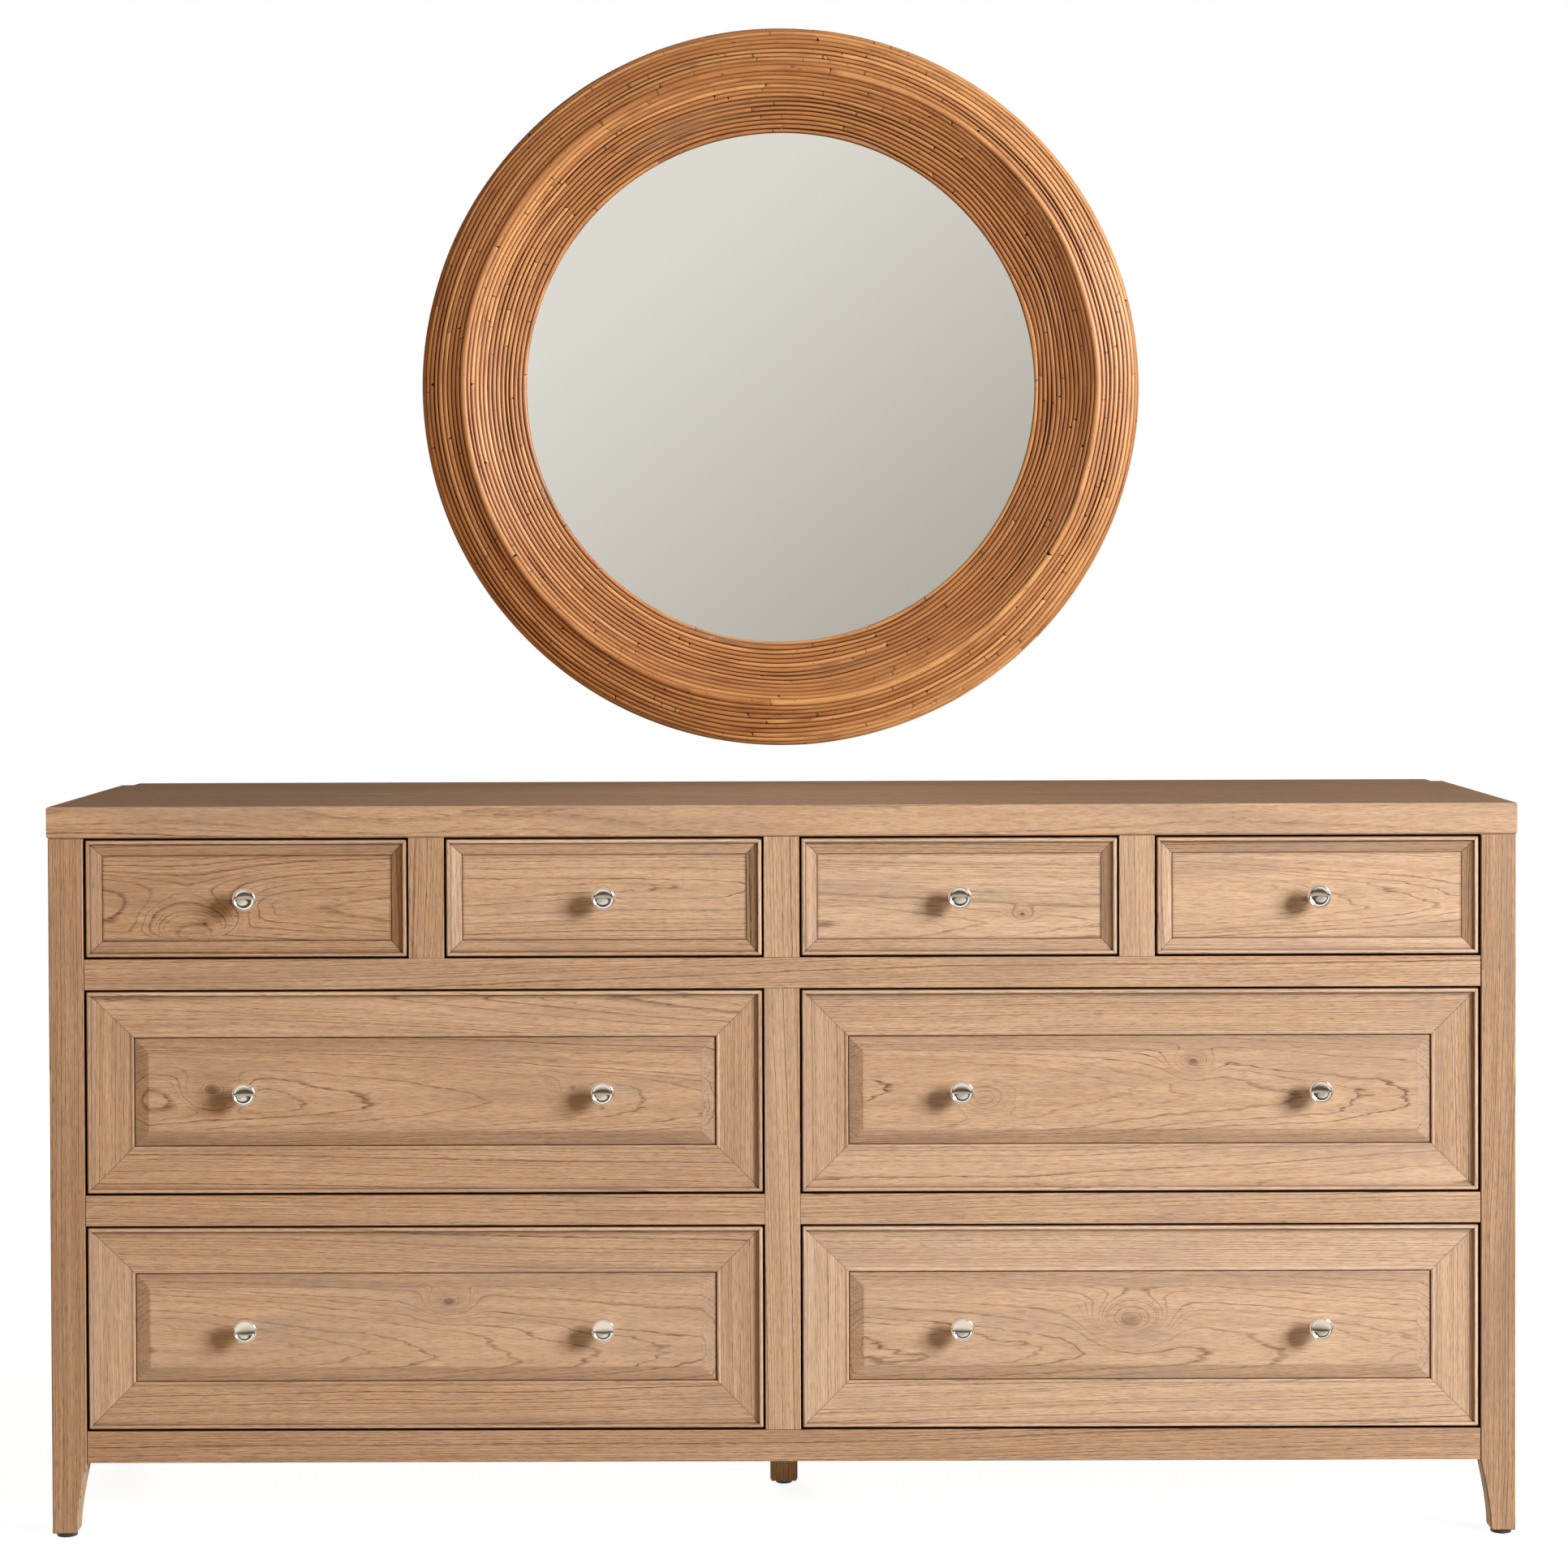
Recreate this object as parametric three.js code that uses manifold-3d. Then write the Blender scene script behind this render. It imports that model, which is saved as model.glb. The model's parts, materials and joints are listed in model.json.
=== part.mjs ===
// A dresser of eight inset drawers and the round reeded mirror that hangs on the wall above it.
// Millimetres. x runs along the dresser, y from its front to the wall, and z up from the floor.
import * as THREE from 'three';
import { mergeVertices } from 'three/addons/utils/BufferGeometryUtils.js';
import Module from 'manifold-3d';

const wasm = await Module();
wasm.setup();

// Fits
const seam = 0.3; // left between two solids that are glued or rest on each other
const overrun = 3; // how far a cut runs past the face that it leaves
const weldDistance = 0.0001; // corners nearer than this are one corner

// The top board. Its rear corners are notched, and between them it runs back to the wall.
const top = {
  width: 1829,
  depth: 508,
  thickness: 39.5,
  overhang: 1.5,
  notchWidth: 15.5,
  notchDepth: 44,
  arris: 2,
};

// Heights of the case front, from the floor up
const underRail = 94;
const bottomRailHeight = 39.5;
const lowerOpening = 257;
const lowerRailHeight = 38;
const middleOpening = 257;
const upperRailHeight = 38;
const upperOpening = 151;

// The corner posts, which end in the tapered legs
const post = {
  width: 44,
  depth: 30,
  footWidth: 31,
  arris: 1.5,
  toeRadius: 4,
  rearReveal: 1.5,
};

// Stiles and rails of the front
const frameDepth = 22;
const stileWidth = 44;
const innerTopOpening = 398; // between the centre stile and the next stile of the top row

// Panels and boards
const sidePanel = { thickness: 18, inset: 4 };
const backPanel = { thickness: 6, inset: 2 };
const boardThickness = 18;
const guide = { width: 22, height: 8, clearance: 0.6, startGap: 4 };

// Glides and the centre foot
const glide = { height: 5, radius: 13.3, edge: 1.2 };
const centreFoot = { width: 36, depth: 36, taper: 2, glideRadius: 11.2 };

// Drawers
const reveal = 2.6; // the gap round a drawer front
const front = { thickness: 20, lipWidth: 5, lipRound: 2.2 };
const smallField = { recess: 7.5, slopeWidth: 14.5 };
const largeBand = { width: 48, topDrop: 2.2, slope: 4.6, stepDrop: 1.6, stepWidth: 6 };
const largeField = { bevelWidth: 16.5, bevelRise: 3.6, quirk: 1.2 };
const box = {
  wall: 12,
  floorThickness: 6,
  floorLift: 10,
  sideGap: 6,
  rearGap: 28.7,
  smallHeight: 112,
  largeHeight: 204,
};
const knobSpacing = 445; // between the two knobs of a large drawer

// Knobs, turned in one piece
const knob = {
  radius: 15,
  height: 24,
  baseRadius: 8.5,
  baseHeight: 2.5,
  neckRadius: 5.6,
  neckHeight: 10,
  rimRadius: 12.6,
  dish: 1.8,
};

// The mirror: reeds laid in rings over a wooden core
const mirror = {
  diameter: 994,
  gapAboveTop: 51,
  frameWidth: 144,
  crestHeight: 46,
  reedWidth: 6.65,
  web: 2,
};
const reedSteps = 3; // facets across a reed
const glass = { thickness: 4, rebate: 9 };
const backBoard = { thickness: 6, edgeInset: 6 };
const hanger = {
  width: 70,
  height: 26,
  thickness: 2,
  slotRadius: 5.5,
  slotWidth: 5,
  slotLength: 9,
  drop: 60,
};

// The reeds' section: [share of the frame's width, share of the height]. Outside the crest the height is
// counted from the wall, and inside it from the seat on the glass.
const outerShares = [
  [0, 0.09],
  [0, 0.34],
  [0.045, 0.54],
  [0.15, 0.71],
  [0.27, 0.81],
  [0.36, 0.94],
  [0.405, 1],
];
const innerShares = [
  [0.45, 0.88],
  [0.52, 0.71],
  [0.6, 0.54],
  [0.72, 0.34],
  [0.86, 0.153],
  [1, 0],
];
const underShares = [0, 0.09, 0.2, 0.36, 0.49, 0.55, 0.63, 0.7, 0.83, 1];

// Facets
const roundSides = 44;
const knobSides = 14;
const glideSides = 14;
const curveSteps = 4;

// Finishes
const finishes = {
  oak: new THREE.MeshStandardMaterial({ color: 0xbf9d78, roughness: 0.62, metalness: 0 }),
  drawerOak: new THREE.MeshStandardMaterial({ color: 0xc4a37e, roughness: 0.62, metalness: 0 }),
  innerWood: new THREE.MeshStandardMaterial({ color: 0xcdb48f, roughness: 0.7, metalness: 0 }),
  backWood: new THREE.MeshStandardMaterial({ color: 0xa98a66, roughness: 0.8, metalness: 0 }),
  nickel: new THREE.MeshStandardMaterial({ color: 0xb9b2a8, roughness: 0.25, metalness: 1 }),
  glide: new THREE.MeshStandardMaterial({ color: 0x2b2724, roughness: 0.6, metalness: 0 }),
  rattan: new THREE.MeshStandardMaterial({ color: 0xb07a4a, roughness: 0.5, metalness: 0 }),
  silvered: new THREE.MeshStandardMaterial({ color: 0xd4d3ce, roughness: 0.03, metalness: 1 }),
  steel: new THREE.MeshStandardMaterial({ color: 0x8f9091, roughness: 0.4, metalness: 1 }),
};

// Levels, from the floor up
const lowerOpeningZ = underRail + bottomRailHeight;
const lowerRailZ = lowerOpeningZ + lowerOpening;
const middleOpeningZ = lowerRailZ + lowerRailHeight;
const upperRailZ = middleOpeningZ + middleOpening;
const upperOpeningZ = upperRailZ + upperRailHeight;
const underTopZ = upperOpeningZ + upperOpening;

// The whole object is centred between the knobs' faces and the wall.
const fieldDepth = {
  small: smallField.recess,
  large: largeBand.topDrop + largeBand.slope + largeBand.stepDrop - largeField.bevelRise,
};
const knobReach = knob.height + seam - Math.min(fieldDepth.small, fieldDepth.large) - top.overhang;
const topFrontY = (knobReach - top.depth) / 2;
const wallY = topFrontY + top.depth;
const caseFrontY = topFrontY + top.overhang;
const caseRearY = wallY - top.notchDepth - post.rearReveal;
const caseHalf = top.width / 2 - top.overhang;
const insidePost = caseHalf - post.width;
const backFaceY = caseRearY - backPanel.inset - backPanel.thickness;
const boardFrontY = caseFrontY + frameDepth + seam;
const boardRearY = backFaceY - seam;
const sideInner = caseHalf - sidePanel.inset - sidePanel.thickness;
const boxFrontY = caseFrontY + front.thickness + seam;
const boxLength = backFaceY - box.rearGap - boxFrontY;
const glassFront = backBoard.thickness + seam + glass.thickness;
const mirrorZ = underTopZ + top.thickness + mirror.gapAboveTop + mirror.diameter / 2;

const dresser = new THREE.Group();

// A closed body: corners welded, empty triangles dropped, faces turned outwards
function closedBody(geometry) {
  const bare = geometry.clone();
  for (const name of Object.keys(bare.attributes)) {
    if (name !== 'position') bare.deleteAttribute(name);
  }
  const welded = mergeVertices(bare, weldDistance);
  const source = welded.index.array;
  const place = welded.attributes.position;
  const corners = [];
  let volume = 0;
  const [a, b, c] = [new THREE.Vector3(), new THREE.Vector3(), new THREE.Vector3()];
  for (let i = 0; i < source.length; i += 3) {
    const [p, q, r] = [source[i], source[i + 1], source[i + 2]];
    if (p === q || q === r || r === p) continue;
    corners.push(p, q, r);
    a.fromBufferAttribute(place, p);
    b.fromBufferAttribute(place, q);
    c.fromBufferAttribute(place, r);
    volume += a.dot(b.cross(c));
  }
  if (volume < 0) corners.reverse();
  welded.setIndex(corners);
  return welded;
}

function toSolid(geometry) {
  const body = closedBody(geometry);
  const vertProperties = new Float32Array(body.attributes.position.array);
  const triVerts = new Uint32Array(body.index.array);
  return new wasm.Manifold(new wasm.Mesh({ numProp: 3, vertProperties, triVerts }));
}

function toGeometry(solid) {
  const cut = solid.getMesh();
  const geometry = new THREE.BufferGeometry();
  geometry.setAttribute('position', new THREE.BufferAttribute(cut.vertProperties, cut.numProp));
  geometry.setIndex(new THREE.BufferAttribute(cut.triVerts, 1));
  return geometry;
}

// A piece of the object, under its own name
function addPiece(name, geometry, material, [x, y, z], parent = dresser) {
  const body = closedBody(geometry).toNonIndexed();
  body.computeVertexNormals();
  const mesh = new THREE.Mesh(body, material);
  mesh.name = name;
  mesh.position.set(x, y, z);
  parent.add(mesh);
  return mesh;
}

function outline(points) {
  return new THREE.Shape(points.map(([x, y]) => new THREE.Vector2(x, y)));
}

function rectangle(x0, x1, y0, y1) {
  return outline([[x0, y0], [x1, y0], [x1, y1], [x0, y1]]);
}

// A board: an outline given a thickness along +z, with its long edges eased by arris
function board(shape, thickness, arris = 0) {
  const geometry = new THREE.ExtrudeGeometry(shape, {
    depth: thickness - 2 * arris,
    bevelEnabled: arris > 0,
    bevelSize: arris,
    bevelThickness: arris,
    bevelOffset: -arris,
    bevelSegments: 1,
    curveSegments: curveSteps,
  });
  return geometry.translate(0, 0, arris);
}

// The same, standing: the outline is in x and z, and the thickness runs back from y = 0
function standing(shape, thickness, arris = 0) {
  return board(shape, thickness, arris).rotateX(Math.PI / 2).translate(0, thickness, 0);
}

function block(x0, x1, y0, y1, z0, z1) {
  return board(rectangle(x0, x1, y0, y1), z1 - z0).translate(0, 0, z0);
}

// A turned piece: [radius, height] points, revolved about the line that runs forward from the wall
function turned(points, sides) {
  const profile = points.map(([radius, height]) => new THREE.Vector2(radius, height));
  return new THREE.LatheGeometry(profile, sides).rotateZ(Math.PI);
}

// A rectangular moulding with mitred corners: [inset, depth behind the front] from the edge inwards
function mitredPanel(width, height, thickness, profile) {
  const rings = [[0, thickness], ...profile];
  const places = [];
  const corners = [];
  for (const [inset, depth] of rings) {
    const [x, z] = [width / 2 - inset, height / 2 - inset];
    places.push(-x, depth, -z, x, depth, -z, x, depth, z, -x, depth, z);
  }
  for (let ring = 0; ring + 1 < rings.length; ring++) {
    for (let side = 0; side < 4; side++) {
      const [a, b] = [ring * 4 + side, ring * 4 + ((side + 1) % 4)];
      corners.push(a, b, b + 4, a, b + 4, a + 4);
    }
  }
  const last = (rings.length - 1) * 4;
  corners.push(last, last + 1, last + 2, last, last + 2, last + 3);
  corners.push(0, 2, 1, 0, 3, 2);
  const geometry = new THREE.BufferGeometry();
  geometry.setAttribute('position', new THREE.Float32BufferAttribute(places, 3));
  geometry.setIndex(corners);
  return geometry;
}

function makeTopBoard() {
  const half = top.width / 2;
  const [notchX, notchY] = [half - top.notchWidth, top.depth - top.notchDepth];
  const shape = outline([
    [-half, 0],
    [half, 0],
    [half, notchY],
    [notchX, notchY],
    [notchX, top.depth],
    [-notchX, top.depth],
    [-notchX, notchY],
    [-half, notchY],
  ]);
  addPiece('top_board', board(shape, top.thickness, top.arris), finishes.oak, [0, topFrontY, underTopZ]);
}

// A post with its tapered leg. The outer edge is straight, and the inner one draws in below the rail.
function postShape(side) {
  const footZ = glide.height + seam;
  const headZ = underTopZ - seam;
  const bendZ = footZ + (underRail - footZ) / 3;
  const x = (across) => side * (caseHalf - across);
  const shape = new THREE.Shape();
  shape.moveTo(x(0), footZ);
  shape.lineTo(x(0), headZ);
  shape.lineTo(x(post.width), headZ);
  shape.lineTo(x(post.width), underRail);
  shape.quadraticCurveTo(x(post.footWidth), bendZ, x(post.footWidth), footZ + post.toeRadius);
  shape.quadraticCurveTo(x(post.footWidth), footZ, x(post.footWidth - post.toeRadius), footZ);
  return shape;
}

function makeGlide(name, radius, x, y) {
  const points = [
    [0, 0],
    [radius - glide.edge, 0],
    [radius, glide.edge],
    [radius, glide.height],
    [0, glide.height],
  ];
  const profile = points.map(([r, z]) => new THREE.Vector2(r, z));
  const geometry = new THREE.LatheGeometry(profile, glideSides).rotateX(Math.PI / 2);
  addPiece(name, geometry, finishes.glide, [x, y, 0]);
}

function makeLegs() {
  const rows = { front: caseFrontY, rear: caseRearY - post.depth };
  for (const [row, y] of Object.entries(rows)) {
    for (const [hand, side] of [['left', -1], ['right', 1]]) {
      const geometry = standing(postShape(side), post.depth, post.arris);
      addPiece(`leg_${row}_${hand}`, geometry, finishes.oak, [0, y, 0]);
      const x = side * (caseHalf - post.footWidth / 2);
      makeGlide(`glide_${row}_${hand}`, glide.radius, x, y + post.depth / 2);
    }
  }
}

function makeSidesAndBack() {
  const frontY = caseFrontY + post.depth + seam;
  const rearY = caseRearY - post.depth - seam;
  const [lowZ, highZ] = [underRail, underTopZ - seam];
  for (const [hand, side] of [['left', -1], ['right', 1]]) {
    const outer = side * (caseHalf - sidePanel.inset);
    const inner = side * sideInner;
    const geometry = block(Math.min(outer, inner), Math.max(outer, inner), frontY, rearY, lowZ, highZ);
    addPiece(`side_panel_${hand}`, geometry, finishes.oak, [0, 0, 0]);
  }
  const half = insidePost - seam;
  const back = standing(rectangle(-half, half, lowZ, highZ), backPanel.thickness);
  addPiece('back_panel', back, finishes.backWood, [0, backFaceY, 0]);
}

function addFrameMember(name, x0, x1, z0, z1) {
  addPiece(name, standing(rectangle(x0, x1, z0, z1), frameDepth), finishes.oak, [0, caseFrontY, 0]);
}

function makeFrontFrame() {
  const end = insidePost - seam;
  const half = stileWidth / 2;
  addFrameMember('bottom_rail', -end, end, underRail, lowerOpeningZ);
  addFrameMember('lower_rail_left', -end, -half - seam, lowerRailZ, middleOpeningZ);
  addFrameMember('lower_rail_right', half + seam, end, lowerRailZ, middleOpeningZ);
  addFrameMember('upper_rail', -end, end, upperRailZ, upperOpeningZ);
  addFrameMember('centre_stile', -half, half, lowerOpeningZ + seam, upperRailZ - seam);
  const stileX = half + innerTopOpening + half;
  for (const [name, x] of [['left', -stileX], ['centre', 0], ['right', stileX]]) {
    addFrameMember(`top_stile_${name}`, x - half, x + half, upperOpeningZ + seam, underTopZ - seam);
  }
}

// A board that the drawers run on, notched round the posts, with a guide strip under each drawer
function runnerBoard(x0, x1, topZ, guideXs) {
  let solid = toSolid(block(x0, x1, boardFrontY, boardRearY, topZ - boardThickness, topZ));
  const [lowZ, highZ] = [topZ - boardThickness - overrun, topZ + overrun];
  const postX = insidePost - seam;
  const postRows = [
    [boardFrontY - overrun, caseFrontY + post.depth + seam],
    [caseRearY - post.depth - seam, boardRearY + overrun],
  ];
  for (const side of [-1, 1]) {
    const [low, high] = side < 0 ? [-caseHalf, -postX] : [postX, caseHalf];
    for (const [y0, y1] of postRows) {
      if (y1 > boardFrontY && y0 < boardRearY) {
        solid = solid.subtract(toSolid(block(low, high, y0, y1, lowZ, highZ)));
      }
    }
  }
  const startY = boxFrontY + box.wall + guide.startGap;
  for (const x of guideXs) {
    const half = guide.width / 2;
    const [rootZ, crownZ] = [topZ - boardThickness / 2, topZ + guide.height];
    const strip = block(x - half, x + half, startY, boardRearY, rootZ, crownZ);
    solid = solid.add(toSolid(strip));
  }
  return toGeometry(solid);
}

// Where the drawers stand: name, centre, width and height of the opening, and its lowest level
function drawerPlaces() {
  const half = stileWidth / 2;
  const innerX = half + innerTopOpening / 2;
  const outerWidth = insidePost - half - innerTopOpening - stileWidth;
  const outerX = insidePost - outerWidth / 2;
  const largeWidth = insidePost - half;
  const largeX = half + largeWidth / 2;
  const topRow = [
    ['top_far_left', -outerX, outerWidth],
    ['top_left', -innerX, innerTopOpening],
    ['top_right', innerX, innerTopOpening],
    ['top_far_right', outerX, outerWidth],
  ];
  const places = topRow.map(([name, x, width]) => ({
    name, x, width, height: upperOpening, z: upperOpeningZ, large: false,
  }));
  const largeRows = [
    ['middle', middleOpening, middleOpeningZ],
    ['bottom', lowerOpening, lowerOpeningZ],
  ];
  for (const [row, height, z] of largeRows) {
    for (const [hand, side] of [['left', -1], ['right', 1]]) {
      places.push({ name: `${row}_${hand}`, x: side * largeX, width: largeWidth, height, z, large: true });
    }
  }
  return places;
}

function makeBoards(places) {
  const guides = (word) => places.filter(({ name }) => name.startsWith(word)).map(({ x }) => x);
  const end = sideInner - seam;
  const half = boardThickness / 2;
  const atTop = runnerBoard(-end, end, upperOpeningZ, guides('top'));
  const atBottom = runnerBoard(-end, end, lowerOpeningZ, guides('bottom'));
  addPiece('upper_runner_board', atTop, finishes.innerWood, [0, 0, 0]);
  addPiece('bottom_runner_board', atBottom, finishes.innerWood, [0, 0, 0]);
  const atLeft = runnerBoard(-end, -half - seam, middleOpeningZ, guides('middle_left'));
  const atRight = runnerBoard(half + seam, end, middleOpeningZ, guides('middle_right'));
  addPiece('lower_runner_board_left', atLeft, finishes.innerWood, [0, 0, 0]);
  addPiece('lower_runner_board_right', atRight, finishes.innerWood, [0, 0, 0]);
  const lowZ = lowerOpeningZ + seam;
  const highZ = upperOpeningZ - boardThickness - seam;
  const partition = block(-half, half, boardFrontY, boardRearY, lowZ, highZ);
  addPiece('centre_partition', partition, finishes.innerWood, [0, 0, 0]);
}

// The foot under the middle of the case, narrower at its glide
function makeCentreFoot() {
  const y = (caseFrontY + wallY) / 2;
  const [lowZ, highZ] = [glide.height + seam, lowerOpeningZ - boardThickness - seam];
  const [head, toe] = [centreFoot.width / 2, centreFoot.width / 2 - centreFoot.taper];
  const kneeZ = lowZ + post.toeRadius;
  const shape = outline([
    [-toe, lowZ],
    [toe, lowZ],
    [head, kneeZ],
    [head, highZ],
    [-head, highZ],
    [-head, kneeZ],
  ]);
  const geometry = standing(shape, centreFoot.depth, post.arris);
  addPiece('centre_foot', geometry, finishes.oak, [0, y - centreFoot.depth / 2, 0]);
  makeGlide('glide_centre', centreFoot.glideRadius, 0, y);
}

// The small fronts slope in to a sunk field.
function smallProfile() {
  const { lipWidth, lipRound } = front;
  const slopeEnd = lipWidth + smallField.slopeWidth;
  return [
    [0, lipRound],
    [lipRound, 0],
    [lipWidth, 0],
    [lipWidth, lipRound],
    [slopeEnd, smallField.recess],
  ];
}

// The large fronts have a mitred band that slopes in, and a raised panel inside it.
function largeProfile() {
  const { lipWidth, lipRound } = front;
  const bandEnd = lipWidth + largeBand.width;
  const bandDepth = largeBand.topDrop + largeBand.slope;
  const stepDepth = bandDepth + largeBand.stepDrop;
  const panelStart = bandEnd + largeBand.stepWidth;
  const fieldStart = panelStart + largeField.bevelWidth;
  return [
    [0, lipRound],
    [lipRound, 0],
    [lipWidth, 0],
    [lipWidth, largeBand.topDrop],
    [bandEnd, bandDepth],
    [bandEnd, stepDepth],
    [panelStart - largeField.quirk, stepDepth],
    [panelStart - largeField.quirk, stepDepth + largeField.quirk],
    [panelStart, stepDepth + largeField.quirk],
    [panelStart, stepDepth],
    [fieldStart, fieldDepth.large],
  ];
}

// An open box whose floor stands in its walls, with the back notched over the guide strip
function drawerBox(width, height) {
  const half = width / 2;
  const { wall } = box;
  const length = boxLength;
  const walls = rectangle(-half, half, 0, length);
  walls.holes.push(rectangle(-half + wall, half - wall, wall, length - wall));
  const floorEdge = wall / 2;
  const floorHalf = half - wall + floorEdge;
  const [floorFront, floorRear] = [wall - floorEdge, length - wall + floorEdge];
  const floorTop = box.floorLift + box.floorThickness;
  const floor = block(-floorHalf, floorHalf, floorFront, floorRear, box.floorLift, floorTop);
  const notchHalf = guide.width / 2 + guide.clearance;
  const notchTop = guide.height + guide.clearance;
  const notch = block(-notchHalf, notchHalf, length - wall - overrun, length + overrun, -overrun, notchTop);
  const solid = toSolid(board(walls, height)).add(toSolid(floor)).subtract(toSolid(notch));
  return toGeometry(solid);
}

function knobProfile() {
  const { radius, height, baseRadius, baseHeight, neckRadius, neckHeight, rimRadius, dish } = knob;
  const headStart = neckHeight + (height - neckHeight) / 2;
  const rimDrop = radius - rimRadius;
  return [
    [0, 0],
    [baseRadius, 0],
    [baseRadius, baseHeight],
    [neckRadius, baseHeight + (baseRadius - neckRadius)],
    [neckRadius, neckHeight],
    [radius, headStart],
    [radius, height - rimDrop],
    [rimRadius, height],
    [rimRadius - dish, height - dish / 2],
    [0, height - dish],
  ];
}

function makeDrawers(places) {
  for (const { name, x, width, height, z, large } of places) {
    const frontShape = mitredPanel(
      width - 2 * reveal,
      height - 2 * reveal,
      front.thickness,
      large ? largeProfile() : smallProfile(),
    );
    const middleZ = z + height / 2;
    addPiece(`drawer_front_${name}`, frontShape, finishes.drawerOak, [x, caseFrontY, middleZ]);
    const boxShape = drawerBox(width - 2 * box.sideGap, large ? box.largeHeight : box.smallHeight);
    addPiece(`drawer_box_${name}`, boxShape, finishes.innerWood, [x, boxFrontY, z + seam]);
    const knobY = caseFrontY + (large ? fieldDepth.large : fieldDepth.small) - seam;
    const knobs = large ? [['_left', -knobSpacing / 2], ['_right', knobSpacing / 2]] : [['', 0]];
    for (const [hand, across] of knobs) {
      const turnedKnob = turned(knobProfile(), knobSides);
      addPiece(`knob_${name}${hand}`, turnedKnob, finishes.nickel, [x + across, knobY, middleZ]);
    }
  }
}

// The line that the reeds lie along, from the wall to the glass, and places beside it
function reedPath() {
  const reedRise = (mirror.reedWidth / 2) * Math.sin(Math.PI / reedSteps);
  const outer = mirror.diameter / 2 - reedRise;
  const width = mirror.frameWidth - reedRise;
  const crest = mirror.crestHeight;
  const seat = glassFront + seam + mirror.web;
  const place = (across, height) => new THREE.Vector2(outer - across * width, height);
  const points = [
    ...outerShares.map(([across, up]) => place(across, up * crest)),
    ...innerShares.map(([across, up]) => place(across, seat + up * (crest - seat))),
  ];
  const path = new THREE.SplineCurve(points);
  const reedCount = Math.round(path.getLength() / mirror.reedWidth);
  path.arcLengthDivisions = reedCount * curveSteps * 2;
  path.updateArcLengths();
  const at = (share, lift) => {
    const { x, y } = path.getPointAt(share);
    const along = path.getTangentAt(share);
    return [x + along.y * lift, y - along.x * lift];
  };
  return { at, reedCount, reedRadius: path.getLength() / reedCount / 2 };
}

// The reeds: a round for each along the path, closed by an underside that seats on the core
function reedWrapProfile({ at, reedCount, reedRadius }) {
  const points = [];
  for (let reed = 0; reed < reedCount; reed++) {
    for (let step = 0; step < reedSteps; step++) {
      const turn = (Math.PI * step) / reedSteps;
      const along = (reed + (1 - Math.cos(turn)) / 2) / reedCount;
      points.push(at(along, reedRadius * Math.sin(turn)));
    }
  }
  points.push(at(1, 0));
  for (const share of [...underShares].reverse()) points.push(at(share, -mirror.web));
  points.push(points[0]);
  return points;
}

// The core: the reeds' underside in front, a rebate for the glass inside, and a flat back
function coreProfile({ at }) {
  const face = underShares.map((share) => at(share, -mirror.web - seam));
  const glassEdge = mirror.diameter / 2 - mirror.frameWidth + glass.rebate + seam;
  const backHeight = backBoard.thickness + seam;
  const kept = face.filter(([radius, height]) => radius > glassEdge + seam && height > backHeight + seam);
  const [outerEdge] = kept[0];
  const [, lipHeight] = at(1, -mirror.web - seam);
  return [
    [outerEdge, backHeight],
    ...kept,
    [glassEdge, lipHeight],
    [glassEdge, backHeight],
    [outerEdge, backHeight],
  ];
}

function makeMirror() {
  const path = reedPath();
  const hung = new THREE.Group();
  hung.position.set(0, wallY, mirrorZ);
  dresser.add(hung);
  const wrap = turned(reedWrapProfile(path), roundSides);
  addPiece('mirror_reed_wrap', wrap, finishes.rattan, [0, 0, 0], hung);
  addPiece('mirror_core', turned(coreProfile(path), roundSides), finishes.backWood, [0, 0, 0], hung);
  const glassRadius = mirror.diameter / 2 - mirror.frameWidth + glass.rebate;
  const glassBack = glassFront - glass.thickness;
  const pane = turned([
    [0, glassBack],
    [glassRadius, glassBack],
    [glassRadius, glassFront],
    [0, glassFront],
  ], roundSides);
  addPiece('mirror_glass', pane, finishes.silvered, [0, 0, 0], hung);
  makeMirrorBack(hung);
}

// The back board, with a pocket for the keyhole plate that it hangs by
function makeMirrorBack(hung) {
  const boardRadius = mirror.diameter / 2 - backBoard.edgeInset;
  const plateZ = mirror.diameter / 2 - hanger.drop;
  const half = hanger.width / 2;
  const plateLow = plateZ - hanger.height / 2;
  const plateHigh = plateZ + hanger.height / 2;
  const disc = turned([
    [0, 0],
    [boardRadius, 0],
    [boardRadius, backBoard.thickness],
    [0, backBoard.thickness],
  ], roundSides);
  const pocketDepth = hanger.thickness + seam;
  const pocket = block(-half - seam, half + seam, -pocketDepth, overrun, plateLow - seam, plateHigh + seam);
  const headRoom = block(-hanger.slotRadius, hanger.slotRadius, -pocketDepth * 2, 0,
    plateZ - hanger.slotRadius, plateZ + hanger.slotLength);
  const boardSolid = toSolid(disc).subtract(toSolid(pocket)).subtract(toSolid(headRoom));
  addPiece('mirror_back_board', toGeometry(boardSolid), finishes.backWood, [0, 0, 0], hung);
  const plate = rectangle(-half, half, plateLow, plateHigh);
  const keyhole = new THREE.Path();
  const neck = Math.asin(hanger.slotWidth / 2 / hanger.slotRadius);
  keyhole.absarc(0, plateZ, hanger.slotRadius, Math.PI / 2 + neck, Math.PI / 2 - neck, false);
  keyhole.lineTo(hanger.slotWidth / 2, plateZ + hanger.slotLength);
  keyhole.lineTo(-hanger.slotWidth / 2, plateZ + hanger.slotLength);
  plate.holes.push(keyhole);
  const plateShape = standing(plate, hanger.thickness).translate(0, -hanger.thickness, 0);
  addPiece('mirror_hanger', plateShape, finishes.steel, [0, 0, 0], hung);
}

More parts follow.
